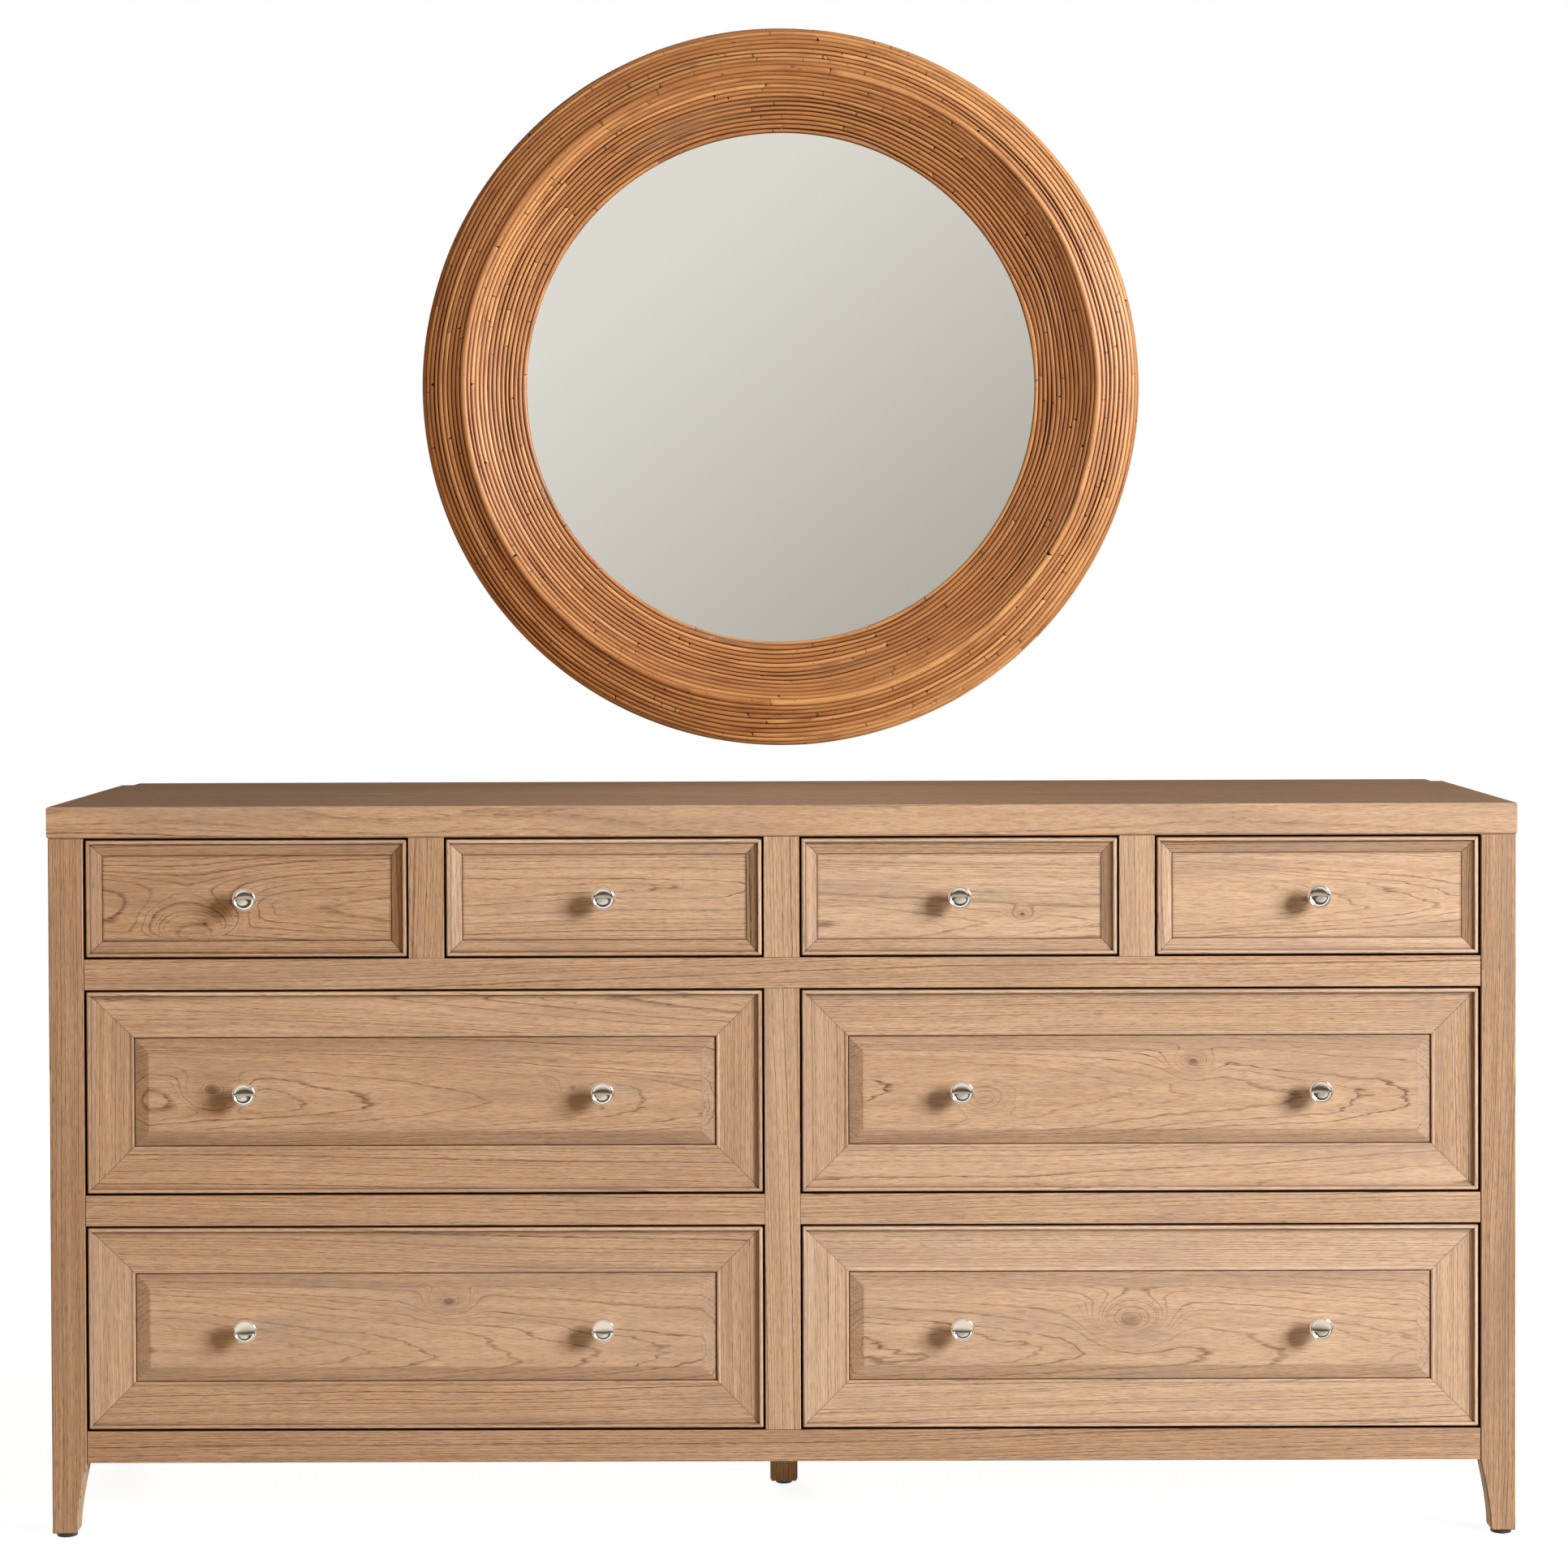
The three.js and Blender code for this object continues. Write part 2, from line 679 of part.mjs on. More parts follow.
const drawers = drawerPlaces();
makeTopBoard();
makeLegs();
makeSidesAndBack();
makeFrontFrame();
makeBoards(drawers);
makeCentreFoot();
makeDrawers(drawers);
makeMirror();

export default dresser;
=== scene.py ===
import json
import math

import bpy
import numpy as np
from mathutils import Matrix, Vector


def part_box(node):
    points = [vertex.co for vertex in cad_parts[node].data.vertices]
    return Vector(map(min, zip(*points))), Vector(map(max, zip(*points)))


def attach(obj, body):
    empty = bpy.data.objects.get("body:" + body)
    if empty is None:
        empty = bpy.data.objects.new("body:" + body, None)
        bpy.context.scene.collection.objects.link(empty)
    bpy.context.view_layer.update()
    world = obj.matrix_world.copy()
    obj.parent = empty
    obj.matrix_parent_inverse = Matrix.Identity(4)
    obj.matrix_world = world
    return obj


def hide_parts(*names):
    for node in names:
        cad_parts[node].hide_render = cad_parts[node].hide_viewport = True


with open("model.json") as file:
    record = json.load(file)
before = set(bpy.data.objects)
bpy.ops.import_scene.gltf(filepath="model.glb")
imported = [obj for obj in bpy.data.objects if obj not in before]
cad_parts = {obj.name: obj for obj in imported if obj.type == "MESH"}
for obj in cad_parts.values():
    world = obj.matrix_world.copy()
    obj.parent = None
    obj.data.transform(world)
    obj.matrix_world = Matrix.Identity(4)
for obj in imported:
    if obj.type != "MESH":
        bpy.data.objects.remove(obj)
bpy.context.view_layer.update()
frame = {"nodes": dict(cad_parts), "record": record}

# Dresser of washed oak with eight inset drawers, and a round mirror framed in rattan reed.
# Metres, z up, the front faces -y. Sizes in the dictionaries are millimetres.
mm = 0.001
fullTurn = 2 * math.pi
bodyOf = {node: body for body, nodes in frame["record"]["behaviour"]["bodies"].items() for node in nodes}
slotOf = {row["node"]: row["material_slot"] for row in frame["record"]["subparts"]}


def seeded(name):
    # the same random numbers each run for the same name
    return np.random.default_rng(sum(ord(letter) * (place + 1) for place, letter in enumerate(name)))


def corners(node):
    low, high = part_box(node)
    return np.array(low), np.array(high)


def linear(hexValue):
    # sRGB to linear: value / 12.92 up to 0.04045, and ((value + 0.055) / 1.055) to the power 2.4 above
    channels = [int(hexValue[start:start + 2], 16) / 255 for start in (1, 3, 5)]
    curve = [c / 12.92 if c <= 0.04045 else ((c + 0.055) / 1.055) ** 2.4 for c in channels]
    return (*curve, 1.0)


def addNode(tree, kind, inputs=None, output=0, **settings):
    # adds a node, sets or links its inputs, and returns one of its output sockets
    node = tree.nodes.new(kind if kind.startswith("Node") else "ShaderNode" + kind)
    for name, value in settings.items():
        setattr(node, name, value)
    for key, value in (inputs or {}).items():
        if isinstance(value, bpy.types.NodeSocket):
            tree.links.new(value, node.inputs[key])
        else:
            node.inputs[key].default_value = value
    return node.outputs[output] if len(node.outputs) else None


def maths(tree, operation, *values, **settings):
    return addNode(tree, "Math", dict(enumerate(values)), operation=operation, **settings)


def vectors(tree, operation, *values, output=0):
    return addNode(tree, "VectorMath", dict(enumerate(values)), output, operation=operation)


def ranged(tree, value, span, smooth=False):
    # a value between the first two numbers of span comes out between its last two
    way = "SMOOTHSTEP" if smooth else "LINEAR"
    return addNode(tree, "MapRange", dict(enumerate((value, *span))), interpolation_type=way)


def blend(tree, amount, *colours):
    colours = [linear(colour) if isinstance(colour, str) else colour for colour in colours]
    return addNode(tree, "MixRGB", dict(enumerate((amount, *colours))))


def carried(tree, name, output="Fac"):
    # what the mesh carries in its attribute of that name
    return addNode(tree, "Attribute", attribute_name=name, output=output)


def evenNoise(tree, scale, detail):
    place = addNode(tree, "TexCoord", output="Object")
    return addNode(tree, "TexNoise", {"Vector": place, "Scale": scale, "Detail": detail})


def stretchedNoise(tree, place, cell, detail):
    # noise whose cells measure so many millimetres along the three axes of place
    scaled = vectors(tree, "MULTIPLY", place, [1 / (size * mm) for size in cell])
    return addNode(tree, "TexNoise", {"Vector": scaled, "Scale": 1.0, "Detail": detail})


def emptyTree(owner):
    owner.use_nodes = True
    owner.node_tree.nodes.clear()
    return owner.node_tree


def makeMaterial(name, describe):
    # describe(tree) returns the material's shader, or the inputs of a plain one
    material = bpy.data.materials.new(name)
    tree = emptyTree(material)
    surface = describe(tree)
    if isinstance(surface, dict):
        surface = addNode(tree, "BsdfPrincipled", surface)
    addNode(tree, "OutputMaterial", {"Surface": surface})
    return material


def addObject(name, data):
    thing = bpy.data.objects.new(name, data)
    bpy.context.scene.collection.objects.link(thing)
    return thing


def standIn(node):
    # body, slot and replaced nodes of a piece that takes a CAD node's place
    return bodyOf[node], slotOf[node], [node]


def makePiece(name, shell, material, role, sharpAngle=35, attributes=None, sharpStep=0):
    # A mesh from a shell, its places and faces, riding on a CAD body. Attributes have a value for each place
    # or face corner. Edges between corners whose numbers are sharpStep apart stay sharp.
    points, faces = shell
    body, slot, replaced = role
    mesh = bpy.data.meshes.new(name)
    mesh.from_pydata(np.asarray(points, float).tolist(), [], faces)
    for key, values in (attributes or {}).items():
        field, kind = ("vector", "FLOAT_VECTOR") if values.ndim == 2 else ("value", "FLOAT")
        layer = mesh.attributes.new(key, kind, "POINT" if len(values) == len(points) else "CORNER")
        layer.data.foreach_set(field, values.astype(np.float32).ravel())
    mesh.shade_smooth()
    mesh.set_sharp_from_angle(angle=math.radians(sharpAngle))
    if sharpStep:
        ends = np.zeros(len(mesh.edges) * 2, np.int32)
        sharp = np.zeros(len(mesh.edges), bool)
        mesh.edges.foreach_get("vertices", ends)
        mesh.edges.foreach_get("use_edge_sharp", sharp)
        mesh.edges.foreach_set("use_edge_sharp", sharp | (np.abs(ends[::2] - ends[1::2]) == sharpStep))
    piece = addObject(name, mesh)
    mesh.materials.append(material)
    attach(piece, body)
    if replaced:
        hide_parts(*replaced)
    return piece


def easeEdges(piece, width, segments, angle, harden=False):
    ease = piece.modifiers.new("ease", "BEVEL")
    ease.width, ease.segments, ease.harden_normals = width * mm, segments, harden
    ease.limit_method, ease.angle_limit = "ANGLE", math.radians(angle)


def ringQuads(rings, size):
    # quads that join each ring of corners to the next one, size corners to a ring
    row = np.arange(rings - 1)[:, None] * size
    here, there = row + np.arange(size), row + (np.arange(size) + 1) % size
    return np.stack([here, there, there + size, here + size], -1).reshape(-1, 4)


def joinShells(shells):
    # several shells as one: places stacked, and each shell's faces counted on from the one before
    points, faces, start = [], [], 0
    for shellPoints, shellFaces in shells:
        points.append(shellPoints)
        faces += [[corner + start for corner in face] for face in shellFaces]
        start += len(shellPoints)
    return np.concatenate(points), faces


# ---- oak ----
oakLook = {
    "light": "#d4ac84", "middle": "#c79f76", "ring": "#6e482c", "pore": "#5a3a24", "wash": "#a98a70",
    # a dark wash over some whole boards, and the same colour laid on as painted shade in gaps, steps and
    # recesses and on the top face
    "glazeAndShade": "#50301c",
    "ringShare": 0.95, "poreShare": 0.72,  # how much of the ring's and the pore's colour shows
    "ringWidth": 2.9, "tilt": 0.02, "sway": (0, 24, 26), "wobble": 5.0, "jitter": 1.0,
    "yearScale": 0.37, "yearSwing": 2.6, "swirlWidens": 7.0,
    "golden": -2.0,
    # painted shade on the faces inside the drawer openings: the depth behind the front over which it comes
    # in, and how dark it is
    "gapDepth": (0.3, 1.3), "gapShade": 0.95,
    # painted shade on the top face: the height over which it comes in, and how dark it is
    "coatRise": 0.4, "coatGlaze": 0.22,
    # metres from the pith: along the grain, across it for a plain sawn board or one cut aside, and behind
    "along": (-9, 9), "plain": (-0.02, 0.02), "aside": (0.12, 0.2), "behind": (0.05, 0.075),
}
# from noise, or from a share of a ring's width, to how strongly each thing shows
oakSpans = {
    "lineWidth": (0.0, 1.0, 0.1, 0.36),
    "lineRise": (0.95, 1.0, 0.0, 1.0),
    "lineStrength": (0.36, 0.64, 0.35, 1.0),
    "lineBreaks": (0.35, 0.55, 0.55, 1.0),
    "pores": (0.52, 0.7, 0.0, 1.0),
    "finePores": (0.55, 0.72, 0.0, 0.6),
    "poresByLine": (0.0, 1.0, 0.45, 1.0),
    "streaks": (0.34, 0.66, 0.0, 1.0),
    "cloud": (0.5, 0.75, 0.0, 0.5),
    "fibres": (0.3, 0.7, 0.8, 1.16),
    "roughness": (0.0, 1.0, 0.5, 0.74),
}
# Cell of each pattern in mm along, across and through the grain, and its detail. The pores are drawn wider
# than real ones, so that they show from across a room.
oakPatterns = {
    "sway": ((900, 230, 230), 1.0),
    "wobble": ((260, 38, 38), 2.0),
    "jitter": ((30, 5, 5), 1.0),
    "pores": ((13, 0.9, 0.9), 1.0),
    "finePores": ((6, 0.6, 0.6), 1.0),
    "streaks": ((220, 9, 9), 2.0),
    "fibres": ((22, 0.8, 0.8), 2.0),
    "cloud": ((300, 40, 40), 2.0),
}


def makeOakFigure():
    # Growth rings round a pith that runs along the grain: distance from it, swayed by noise and divided by
    # the ring width, gives a dark line where each ring starts. A face near the pith shows cathedral arches,
    # and one far to its side straight lines. Pores are short dashes along the grain.
    tree = bpy.data.node_groups.new("oakFigure", "ShaderNodeTree")
    for name, kind in (("Grain", "Vector"), ("Tone", "Float"), ("Swirl", "Float"), ("Glaze", "Float")):
        tree.interface.new_socket(name, in_out="INPUT", socket_type="NodeSocket" + kind)
    for name, kind in (("Color", "Color"), ("Roughness", "Float"), ("Height", "Float")):
        tree.interface.new_socket(name, in_out="OUTPUT", socket_type="NodeSocket" + kind)
    grain = addNode(tree, "NodeGroupInput", output="Grain")
    given = grain.node.outputs
    noise = {name: stretchedNoise(tree, grain, *pattern) for name, pattern in oakPatterns.items()}
    sway = [size * mm for size in oakLook["sway"]]
    swayed = vectors(tree, "MULTIPLY_ADD", noise["sway"].node.outputs[1], sway, grain)
    x = addNode(tree, "SeparateXYZ", {0: swayed})
    y, z = x.node.outputs[1], x.node.outputs[2]
    depth = maths(tree, "MULTIPLY_ADD", x, oakLook["tilt"], z)
    toPith = addNode(tree, "CombineXYZ", {0: 0.0, 1: y, 2: depth})
    radius = vectors(tree, "LENGTH", toPith, output=1)
    distance = maths(tree, "ADD", radius, given["Swirl"])
    for name in ("wobble", "jitter"):
        distance = maths(tree, "MULTIPLY_ADD", noise[name], oakLook[name] * mm, distance)
    rings = maths(tree, "DIVIDE", distance, oakLook["ringWidth"] * mm)
    slow = {"W": rings, "Scale": oakLook["yearScale"], "Detail": 1.0}
    years = addNode(tree, "TexNoise", slow, noise_dimensions="1D")
    uneven = maths(tree, "MULTIPLY_ADD", years, oakLook["yearSwing"], rings)
    share = maths(tree, "FRACT", uneven)
    # a face that lies along the rings crosses them slowly, and its lines are kept as thin as elsewhere
    beside = maths(tree, "DIVIDE", maths(tree, "ABSOLUTE", y), radius)
    width = ranged(tree, beside, oakSpans["lineWidth"])
    width = maths(tree, "MULTIPLY_ADD", given["Swirl"], oakLook["swirlWidens"], width)
    fall = ranged(tree, share, (0.0, width, 1.0, 0.0), True)
    rise = ranged(tree, share, oakSpans["lineRise"], True)
    line = maths(tree, "MAXIMUM", fall, rise)
    strength = ranged(tree, years, oakSpans["lineStrength"])
    line = maths(tree, "MULTIPLY", line, strength)
    dashes = ranged(tree, noise["pores"], oakSpans["pores"], True)
    fine = ranged(tree, noise["finePores"], oakSpans["finePores"], True)
    dashes = maths(tree, "MAXIMUM", dashes, fine)
    nearLine = ranged(tree, line, oakSpans["poresByLine"])
    pores = maths(tree, "MULTIPLY", dashes, nearLine)
    broken = ranged(tree, noise["pores"], oakSpans["lineBreaks"])
    line = maths(tree, "MULTIPLY", line, broken)
    amounts = {
        "middle": ranged(tree, noise["streaks"], oakSpans["streaks"]),
        "ring": maths(tree, "MULTIPLY", line, oakLook["ringShare"]),
        "pore": maths(tree, "MULTIPLY", pores, oakLook["poreShare"]),
        "wash": ranged(tree, noise["cloud"], oakSpans["cloud"]),
        "glazeAndShade": given["Glaze"],
    }
    colour = oakLook["light"]
    for name, amount in amounts.items():
        colour = blend(tree, amount, colour, oakLook[name])
    # a darker board is also more golden: its colour is raised to a power above one
    power = maths(tree, "MULTIPLY_ADD", given["Tone"], oakLook["golden"], 1.0)
    colour = addNode(tree, "Gamma", {0: colour, 1: power})
    threads = ranged(tree, noise["fibres"], oakSpans["fibres"])
    brightness = maths(tree, "ADD", given["Tone"], threads)
    colour = addNode(tree, "VectorMath", {0: colour, "Scale": brightness}, operation="SCALE")
    roughness = ranged(tree, pores, oakSpans["roughness"])
    dips = maths(tree, "MULTIPLY_ADD", pores, -1.0, noise["fibres"])
    addNode(tree, "NodeGroupOutput", {"Color": colour, "Roughness": roughness, "Height": dips})
    return tree


oakFigure = makeOakFigure()


def oakSurface(tree, grain, tone, swirl, glazeAndShade):
    # Washed oak under a satin lacquer: soft highlights, and pores that stay open to the touch.
    given = {"Grain": grain, "Tone": tone, "Swirl": swirl, "Glaze": glazeAndShade}
    figure = addNode(tree, "Group", given, node_tree=oakFigure).node.outputs
    bump = addNode(tree, "Bump", {"Strength": 0.5, "Distance": 0.25 * mm, "Height": figure["Height"]})
    return {
        "Base Color": figure["Color"], "Roughness": figure["Roughness"], "Normal": bump, "IOR": 1.5,
        "Specular IOR Level": 0.4,
    }


def boardGrain(tree, order, shift):
    # a board's own place in a trunk, along, across and through the grain, and the plain x, y and z
    place = addNode(tree, "TexCoord", output="Object")
    parts = addNode(tree, "SeparateXYZ", {0: place}).node.outputs
    turned = addNode(tree, "CombineXYZ", {to: parts[letter] for to, letter in enumerate(order)})
    return addNode(tree, "Mapping", {"Vector": turned, "Location": shift.tolist()}), parts


def makeOakBoard(name, middle, order, plain, tone, glazeAndShade=0.0, gapFrom=None, above=None):
    # Oak for one board. Plain puts the pith behind its face. GapFrom is how far out, in metres, its faces
    # towards a drawer may lie, which get painted shade. Above the height given last, the top face gets
    # painted shade.
    chance = seeded(name)
    along = chance.uniform(*oakLook["along"])
    if plain:
        across = chance.uniform(*oakLook["plain"])
    else:
        across = chance.choice([-1, 1]) * chance.uniform(*oakLook["aside"])
    behind = chance.uniform(*oakLook["behind"])
    pick = ["XYZ".index(letter) for letter in order]
    shift = np.array([along, across, behind]) - np.array(middle)[pick]

    def describe(tree):
        grain, parts = boardGrain(tree, order, shift)
        shade = glazeAndShade
        # faces behind the front, in the drawer openings, get painted shade
        if gapFrom is not None:
            start, full = (caseFront + depth * mm for depth in oakLook["gapDepth"])
            behindFace = ranged(tree, parts[1], (start, full, 0.0, oakLook["gapShade"]))
            side = maths(tree, "ABSOLUTE", parts[0])
            inner = maths(tree, "LESS_THAN", side, gapFrom)
            shade = maths(tree, "MULTIPLY_ADD", behindFace, inner, glazeAndShade, use_clamp=True)
        # the top face is darkened with painted shade
        if above is not None:
            span = (above, above + oakLook["coatRise"] * mm, glazeAndShade, oakLook["coatGlaze"])
            shade = ranged(tree, parts[2], span)
        return oakSurface(tree, grain, tone, 0.0, shade)

    return makeMaterial(name + "WashedOak", describe)


# CAD nodes that keep their shape: grain order, whether plain sawn, tone, glaze, how far out their gap faces
# lie, which get painted shade, and the height above which the top face gets painted shade
caseFront = corners("bottom_rail")[0][1]
postInner = -corners("leg_front_left")[1][0] + 0.6 * mm
oakNodes = {
    "top_board": ("XYZ", True, -0.01, 0.0, None, corners("top_board")[1][2] - 0.8 * mm),
    "leg_front_left": ("ZXY", False, -0.055, 0.08, postInner),
    "leg_front_right": ("ZXY", False, -0.07, 0.1, postInner),
    "leg_rear_left": ("ZXY", False, -0.04, 0.06),
    "leg_rear_right": ("ZXY", False, -0.05, 0.08),
    "side_panel_left": ("ZYX", True, -0.02),
    "side_panel_right": ("ZYX", True, 0.0),
    "bottom_rail": ("XZY", False, -0.04, 0.06, 1.0),
    "lower_rail_left": ("XZY", False, -0.02, 0.0, 1.0),
    "lower_rail_right": ("XZY", False, 0.0, 0.0, 1.0),
    "upper_rail": ("XZY", False, -0.02, 0.0, 1.0),
    "centre_stile": ("ZXY", False, 0.01, 0.0, 1.0),
    "top_stile_left": ("ZXY", False, -0.05, 0.0, 1.0),
    "top_stile_centre": ("ZXY", False, 0.01, 0.0, 1.0),
    "top_stile_right": ("ZXY", False, 0.01, 0.0, 1.0),
    "centre_foot": ("ZXY", False, 0.0),
}
easedEdge = 0.7  # what sanding takes off the boards' edges
weldReach = 0.00001


def dressNode(name, material, edge=0.0):
    # a CAD node keeps its mesh. Its loose triangles are welded, and its edges eased, by modifiers.
    node = frame["nodes"][name]
    node.data.materials.clear()
    node.data.materials.append(material)
    if edge:
        weld = node.modifiers.new("weld", "WELD")
        weld.merge_threshold = weldReach
        easeEdges(node, edge, 2, 40, True)


for name, (order, *look) in oakNodes.items():
    dressNode(name, makeOakBoard(name, sum(corners(name)) / 2, order, *look), easedEdge)
print("carcass in oak:", len(oakNodes), "nodes")

# ---- plainer woods ----
plainWoods = {
    "sealedMaple": {"light": "#dcc6a0", "dark": "#c9ab7f", "speck": "#b08d62", "roughness": 0.55},
    "rawPlywood": {"light": "#b8966c", "dark": "#9c7a52", "speck": "#7c5c3a", "roughness": 0.8},
}
# cell and detail of their patterns, and from noise to how strongly each shows
plainLook = {
    "bands": ((260, 14, 14), 3.0), "specks": ((34, 1.6, 1.6), 1.5),
    "bandSpan": (0.32, 0.68, 0.0, 1.0), "speckSpan": (0.56, 0.74, 0.0, 0.55),
}


def makePlainBoard(name, wood, order):
    # Maple under a clear seal looks pale and close grained, and raw plywood dull and brown, with specks.
    look = plainWoods[wood]
    shift = seeded(name).uniform(-5, 5, 3)

    def describe(tree):
        grain = boardGrain(tree, order, shift)[0]
        bands, specks = (stretchedNoise(tree, grain, *plainLook[key]) for key in ("bands", "specks"))
        banded = ranged(tree, bands, plainLook["bandSpan"])
        specked = ranged(tree, specks, plainLook["speckSpan"])
        colour = blend(tree, banded, look["light"], look["dark"])
        colour = blend(tree, specked, colour, look["speck"])
        bump = addNode(tree, "Bump", {"Strength": 0.35, "Distance": 0.12 * mm, "Height": specks})
        return {"Base Color": colour, "Roughness": look["roughness"], "Normal": bump, "IOR": 1.5}

    return makeMaterial(name + wood[0].upper() + wood[1:], describe)


plainNodes = {
    ("sealedMaple", "YZX"): ["centre_partition"],
    ("sealedMaple", "XYZ"): [
        "upper_runner_board", "lower_runner_board_left", "lower_runner_board_right", "bottom_runner_board",
    ],
    ("rawPlywood", "XZY"): ["back_panel", "mirror_core", "mirror_back_board"],
}
for (wood, order), names in plainNodes.items():
    for name in names:
        dressNode(name, makePlainBoard(name, wood, order))
    print("inner boards:", len(names), wood)

# ---- drawer fronts ----
# Each row is an inset from the edge, a depth behind the face, and how much painted shade darkens it there, in
# the gap, step, cove, quirk and bevel, or, below zero, how much a painted highlight lightens the lip's face.
frontProfiles = {
    "large": {
        "lip": 2.2,
        "edge": [(3.6, 0.0, -0.1), (4.2, 0.0, 0.05), (4.8, 0.25, 0.15), (5.0, 0.9, 0.4), (5.0, 2.6, 0.7)],
        "cove": (5.0, 12.5, 2.6, 2.0, 0.42),
        "band": [(30.0, 5.4, 0.0), (50.5, 6.45, 0.0), (53.2, 6.6, 0.14)],
        "bead": (55.5, 6.8, 2.1, 0.8),
        "quirk": [(57.7, 9.6, 0.85), (58.9, 9.6, 0.85), (59.0, 8.4, 0.45)],
        "bevel": [
            (59.6, 8.26, 0.28), (75.0, 4.98, 0.2), (75.4, 4.89, 0.42), (75.7, 4.82, 0.3), (76.0, 4.8, 0.1),
            (79.0, 4.8, 0.0),
        ],
        "panelFrom": 58.0,
    },
    "small": {
        "lip": 2.2,
        "edge": [(3.6, 0.0, -0.1), (4.2, 0.0, 0.05), (4.8, 0.25, 0.15), (5.0, 0.9, 0.4), (5.0, 2.4, 0.7)],
        "slope": [(8.0, 3.4, 0.15), (18.6, 7.2, 0.08), (19.0, 7.3, 0.3)],
        "quirk": [(19.3, 8.1, 0.75), (20.0, 8.1, 0.75), (20.3, 7.5, 0.4), (23.0, 7.5, 0.0)],
        "panelFrom": 19.2,
    },
}
frontLook = {
    # over the lip's round, from painted shade at the gap to a painted highlight on its face, and how much
    # that highlight lightens the wood
    "thickness": 20, "paintedLipLight": (0.95, 0.85, 0.35, -0.1, -0.25), "lipHighlightGain": 0.35, "memberTone": 0.035,
    # metres from the pith: far enough aside for straight lines on the members, and behind the face
    "aside": (0.13, 0.2), "behind": (0.03, 0.05), "panelBehind": (0.045, 0.07),
    "mitreLine": (0.3 * mm, 1.3 * mm, 0.5, 0.0),
}


def frontRows(profile):
    # the lip is a quarter round, the cove a parabola that flattens out, and the bead a half ellipse
    turn = np.linspace(0, math.pi / 2, 5)
    lip = profile["lip"]
    # the front's sides, in the gap, get painted shade, darkest near the lip
    rows = [(0.0, frontLook["thickness"], 0.1)]
    rows += [(0.0, lip + 9.0, 0.35), (0.0, lip + 3.0, 0.9), (0.0, lip + 0.8, 0.95)]
    rows += [(lip - lip * math.cos(t), lip - lip * math.sin(t), w) for t, w in zip(turn, frontLook["paintedLipLight"])]
    rows += profile["edge"]
    if "cove" in profile:
        start, end, depth, drop, glazeAndShade = profile["cove"]
        for share in np.linspace(0.2, 1, 5):
            bend = 1 - (1 - share) ** 2
            rows.append((start + (end - start) * share, depth + drop * bend, glazeAndShade * (1 - share)))
    rows += profile.get("band", []) + profile.get("slope", [])
    if "bead" in profile:
        middle, depth, half, rise = profile["bead"]
        for t in np.linspace(0.3, math.pi, 7):
            rows.append((middle - half * math.cos(t), depth - rise * math.sin(t), 0.0))
    return np.array(rows + profile["quirk"] + profile.get("bevel", []))


def mitredFront(name, low, high, profile, tone):
    # Ring i is the front's rectangle drawn in by the row's inset and set back by its depth, so the members
    # meet at mitres. Each corner carries its place along, across and through the grain of its own member:
    # bottom, right, top, left or the panel.
    rows = frontRows(profile)
    inset, depth = rows[:, 0] * mm, rows[:, 1] * mm
    middle, half = (low + high) / 2, (high - low) / 2
    x = middle[0] + np.array([-1, 1, 1, -1]) * (half[0] - inset[:, None])
    z = middle[2] + np.array([-1, -1, 1, 1]) * (half[2] - inset[:, None])
    y = np.broadcast_to((low[1] + depth)[:, None], x.shape)
    points = np.stack([x, y, z], -1).reshape(-1, 3)
    last = (len(rows) - 1) * 4
    quads = np.concatenate([ringQuads(len(rows), 4), [[last, last + 1, last + 2, last + 3], [0, 3, 2, 1]]])
    panel = 4
    inPanel = rows[1:, 0] >= profile["panelFrom"]
    member = np.where(inPanel[:, None], panel, np.arange(4)[None]).reshape(-1)
    member = np.append(member, [panel, panel])
    chance = seeded(name)
    shift = np.stack([
        chance.uniform(*oakLook["along"], 5),
        chance.choice([-1, 1], 5) * chance.uniform(*frontLook["aside"], 5),
        chance.uniform(*frontLook["behind"], 5),
    ], -1)
    shift[panel] = [chance.uniform(*oakLook["along"]), chance.uniform(*oakLook["plain"]),
                    chance.uniform(*frontLook["panelBehind"])]
    memberTone = chance.uniform(-frontLook["memberTone"], frontLook["memberTone"], 5) + tone
    memberTone[panel] = tone
    corner = quads.reshape(-1)
    of = np.repeat(member, 4)
    away = points[corner] - middle
    upright = ((of == 1) | (of == 3))[:, None]
    grain = np.where(upright, away[:, [2, 0, 1]], away[:, [0, 2, 1]]) + shift[of]
    extent = [half[0], profile["panelFrom"] * mm, half[2]]
    attributes = {
        "grain": grain, "tone": memberTone[of], "glazeAndShade": np.repeat(rows[:, 2], 4), "away": points - middle,
        "half": np.tile(extent, (len(points), 1)),
    }
    return (points, quads.tolist()), attributes


# Knots in the drawer fronts: place across and up from the floor, how far the rings bend, size, and darkness
knots = [
    (-719, 767, 3, 8, 0.6), (-680, 777, 1, 5, 0.4), (-553, 796, 1, 4, 0.4), (-711, 560, 24, 25, 0.5),
    (-417, 294, 22, 20, 0.4), (-262, 560, 5, 16, 0.12), (512, 592, 20, 18, 0.5), (434, 268, 30, 34, 0.35),
    (300, 776, 8, 10, 0.6), (250, 548, 10, 26, 0.1),
]
knotLook = {"stretch": (0.8, 0, 1.3), "core": (0.02, 0.12), "halo": 0.35}
# The fan of arches low in the first drawer: its two feet, how far the rings bend and how fast that fades
# with height, and how much longer the arches are along the grain
fan = {"feet": ((-743, 747), (-715, 750)), "bend": 54, "fade": 40, "stretch": 0.6}


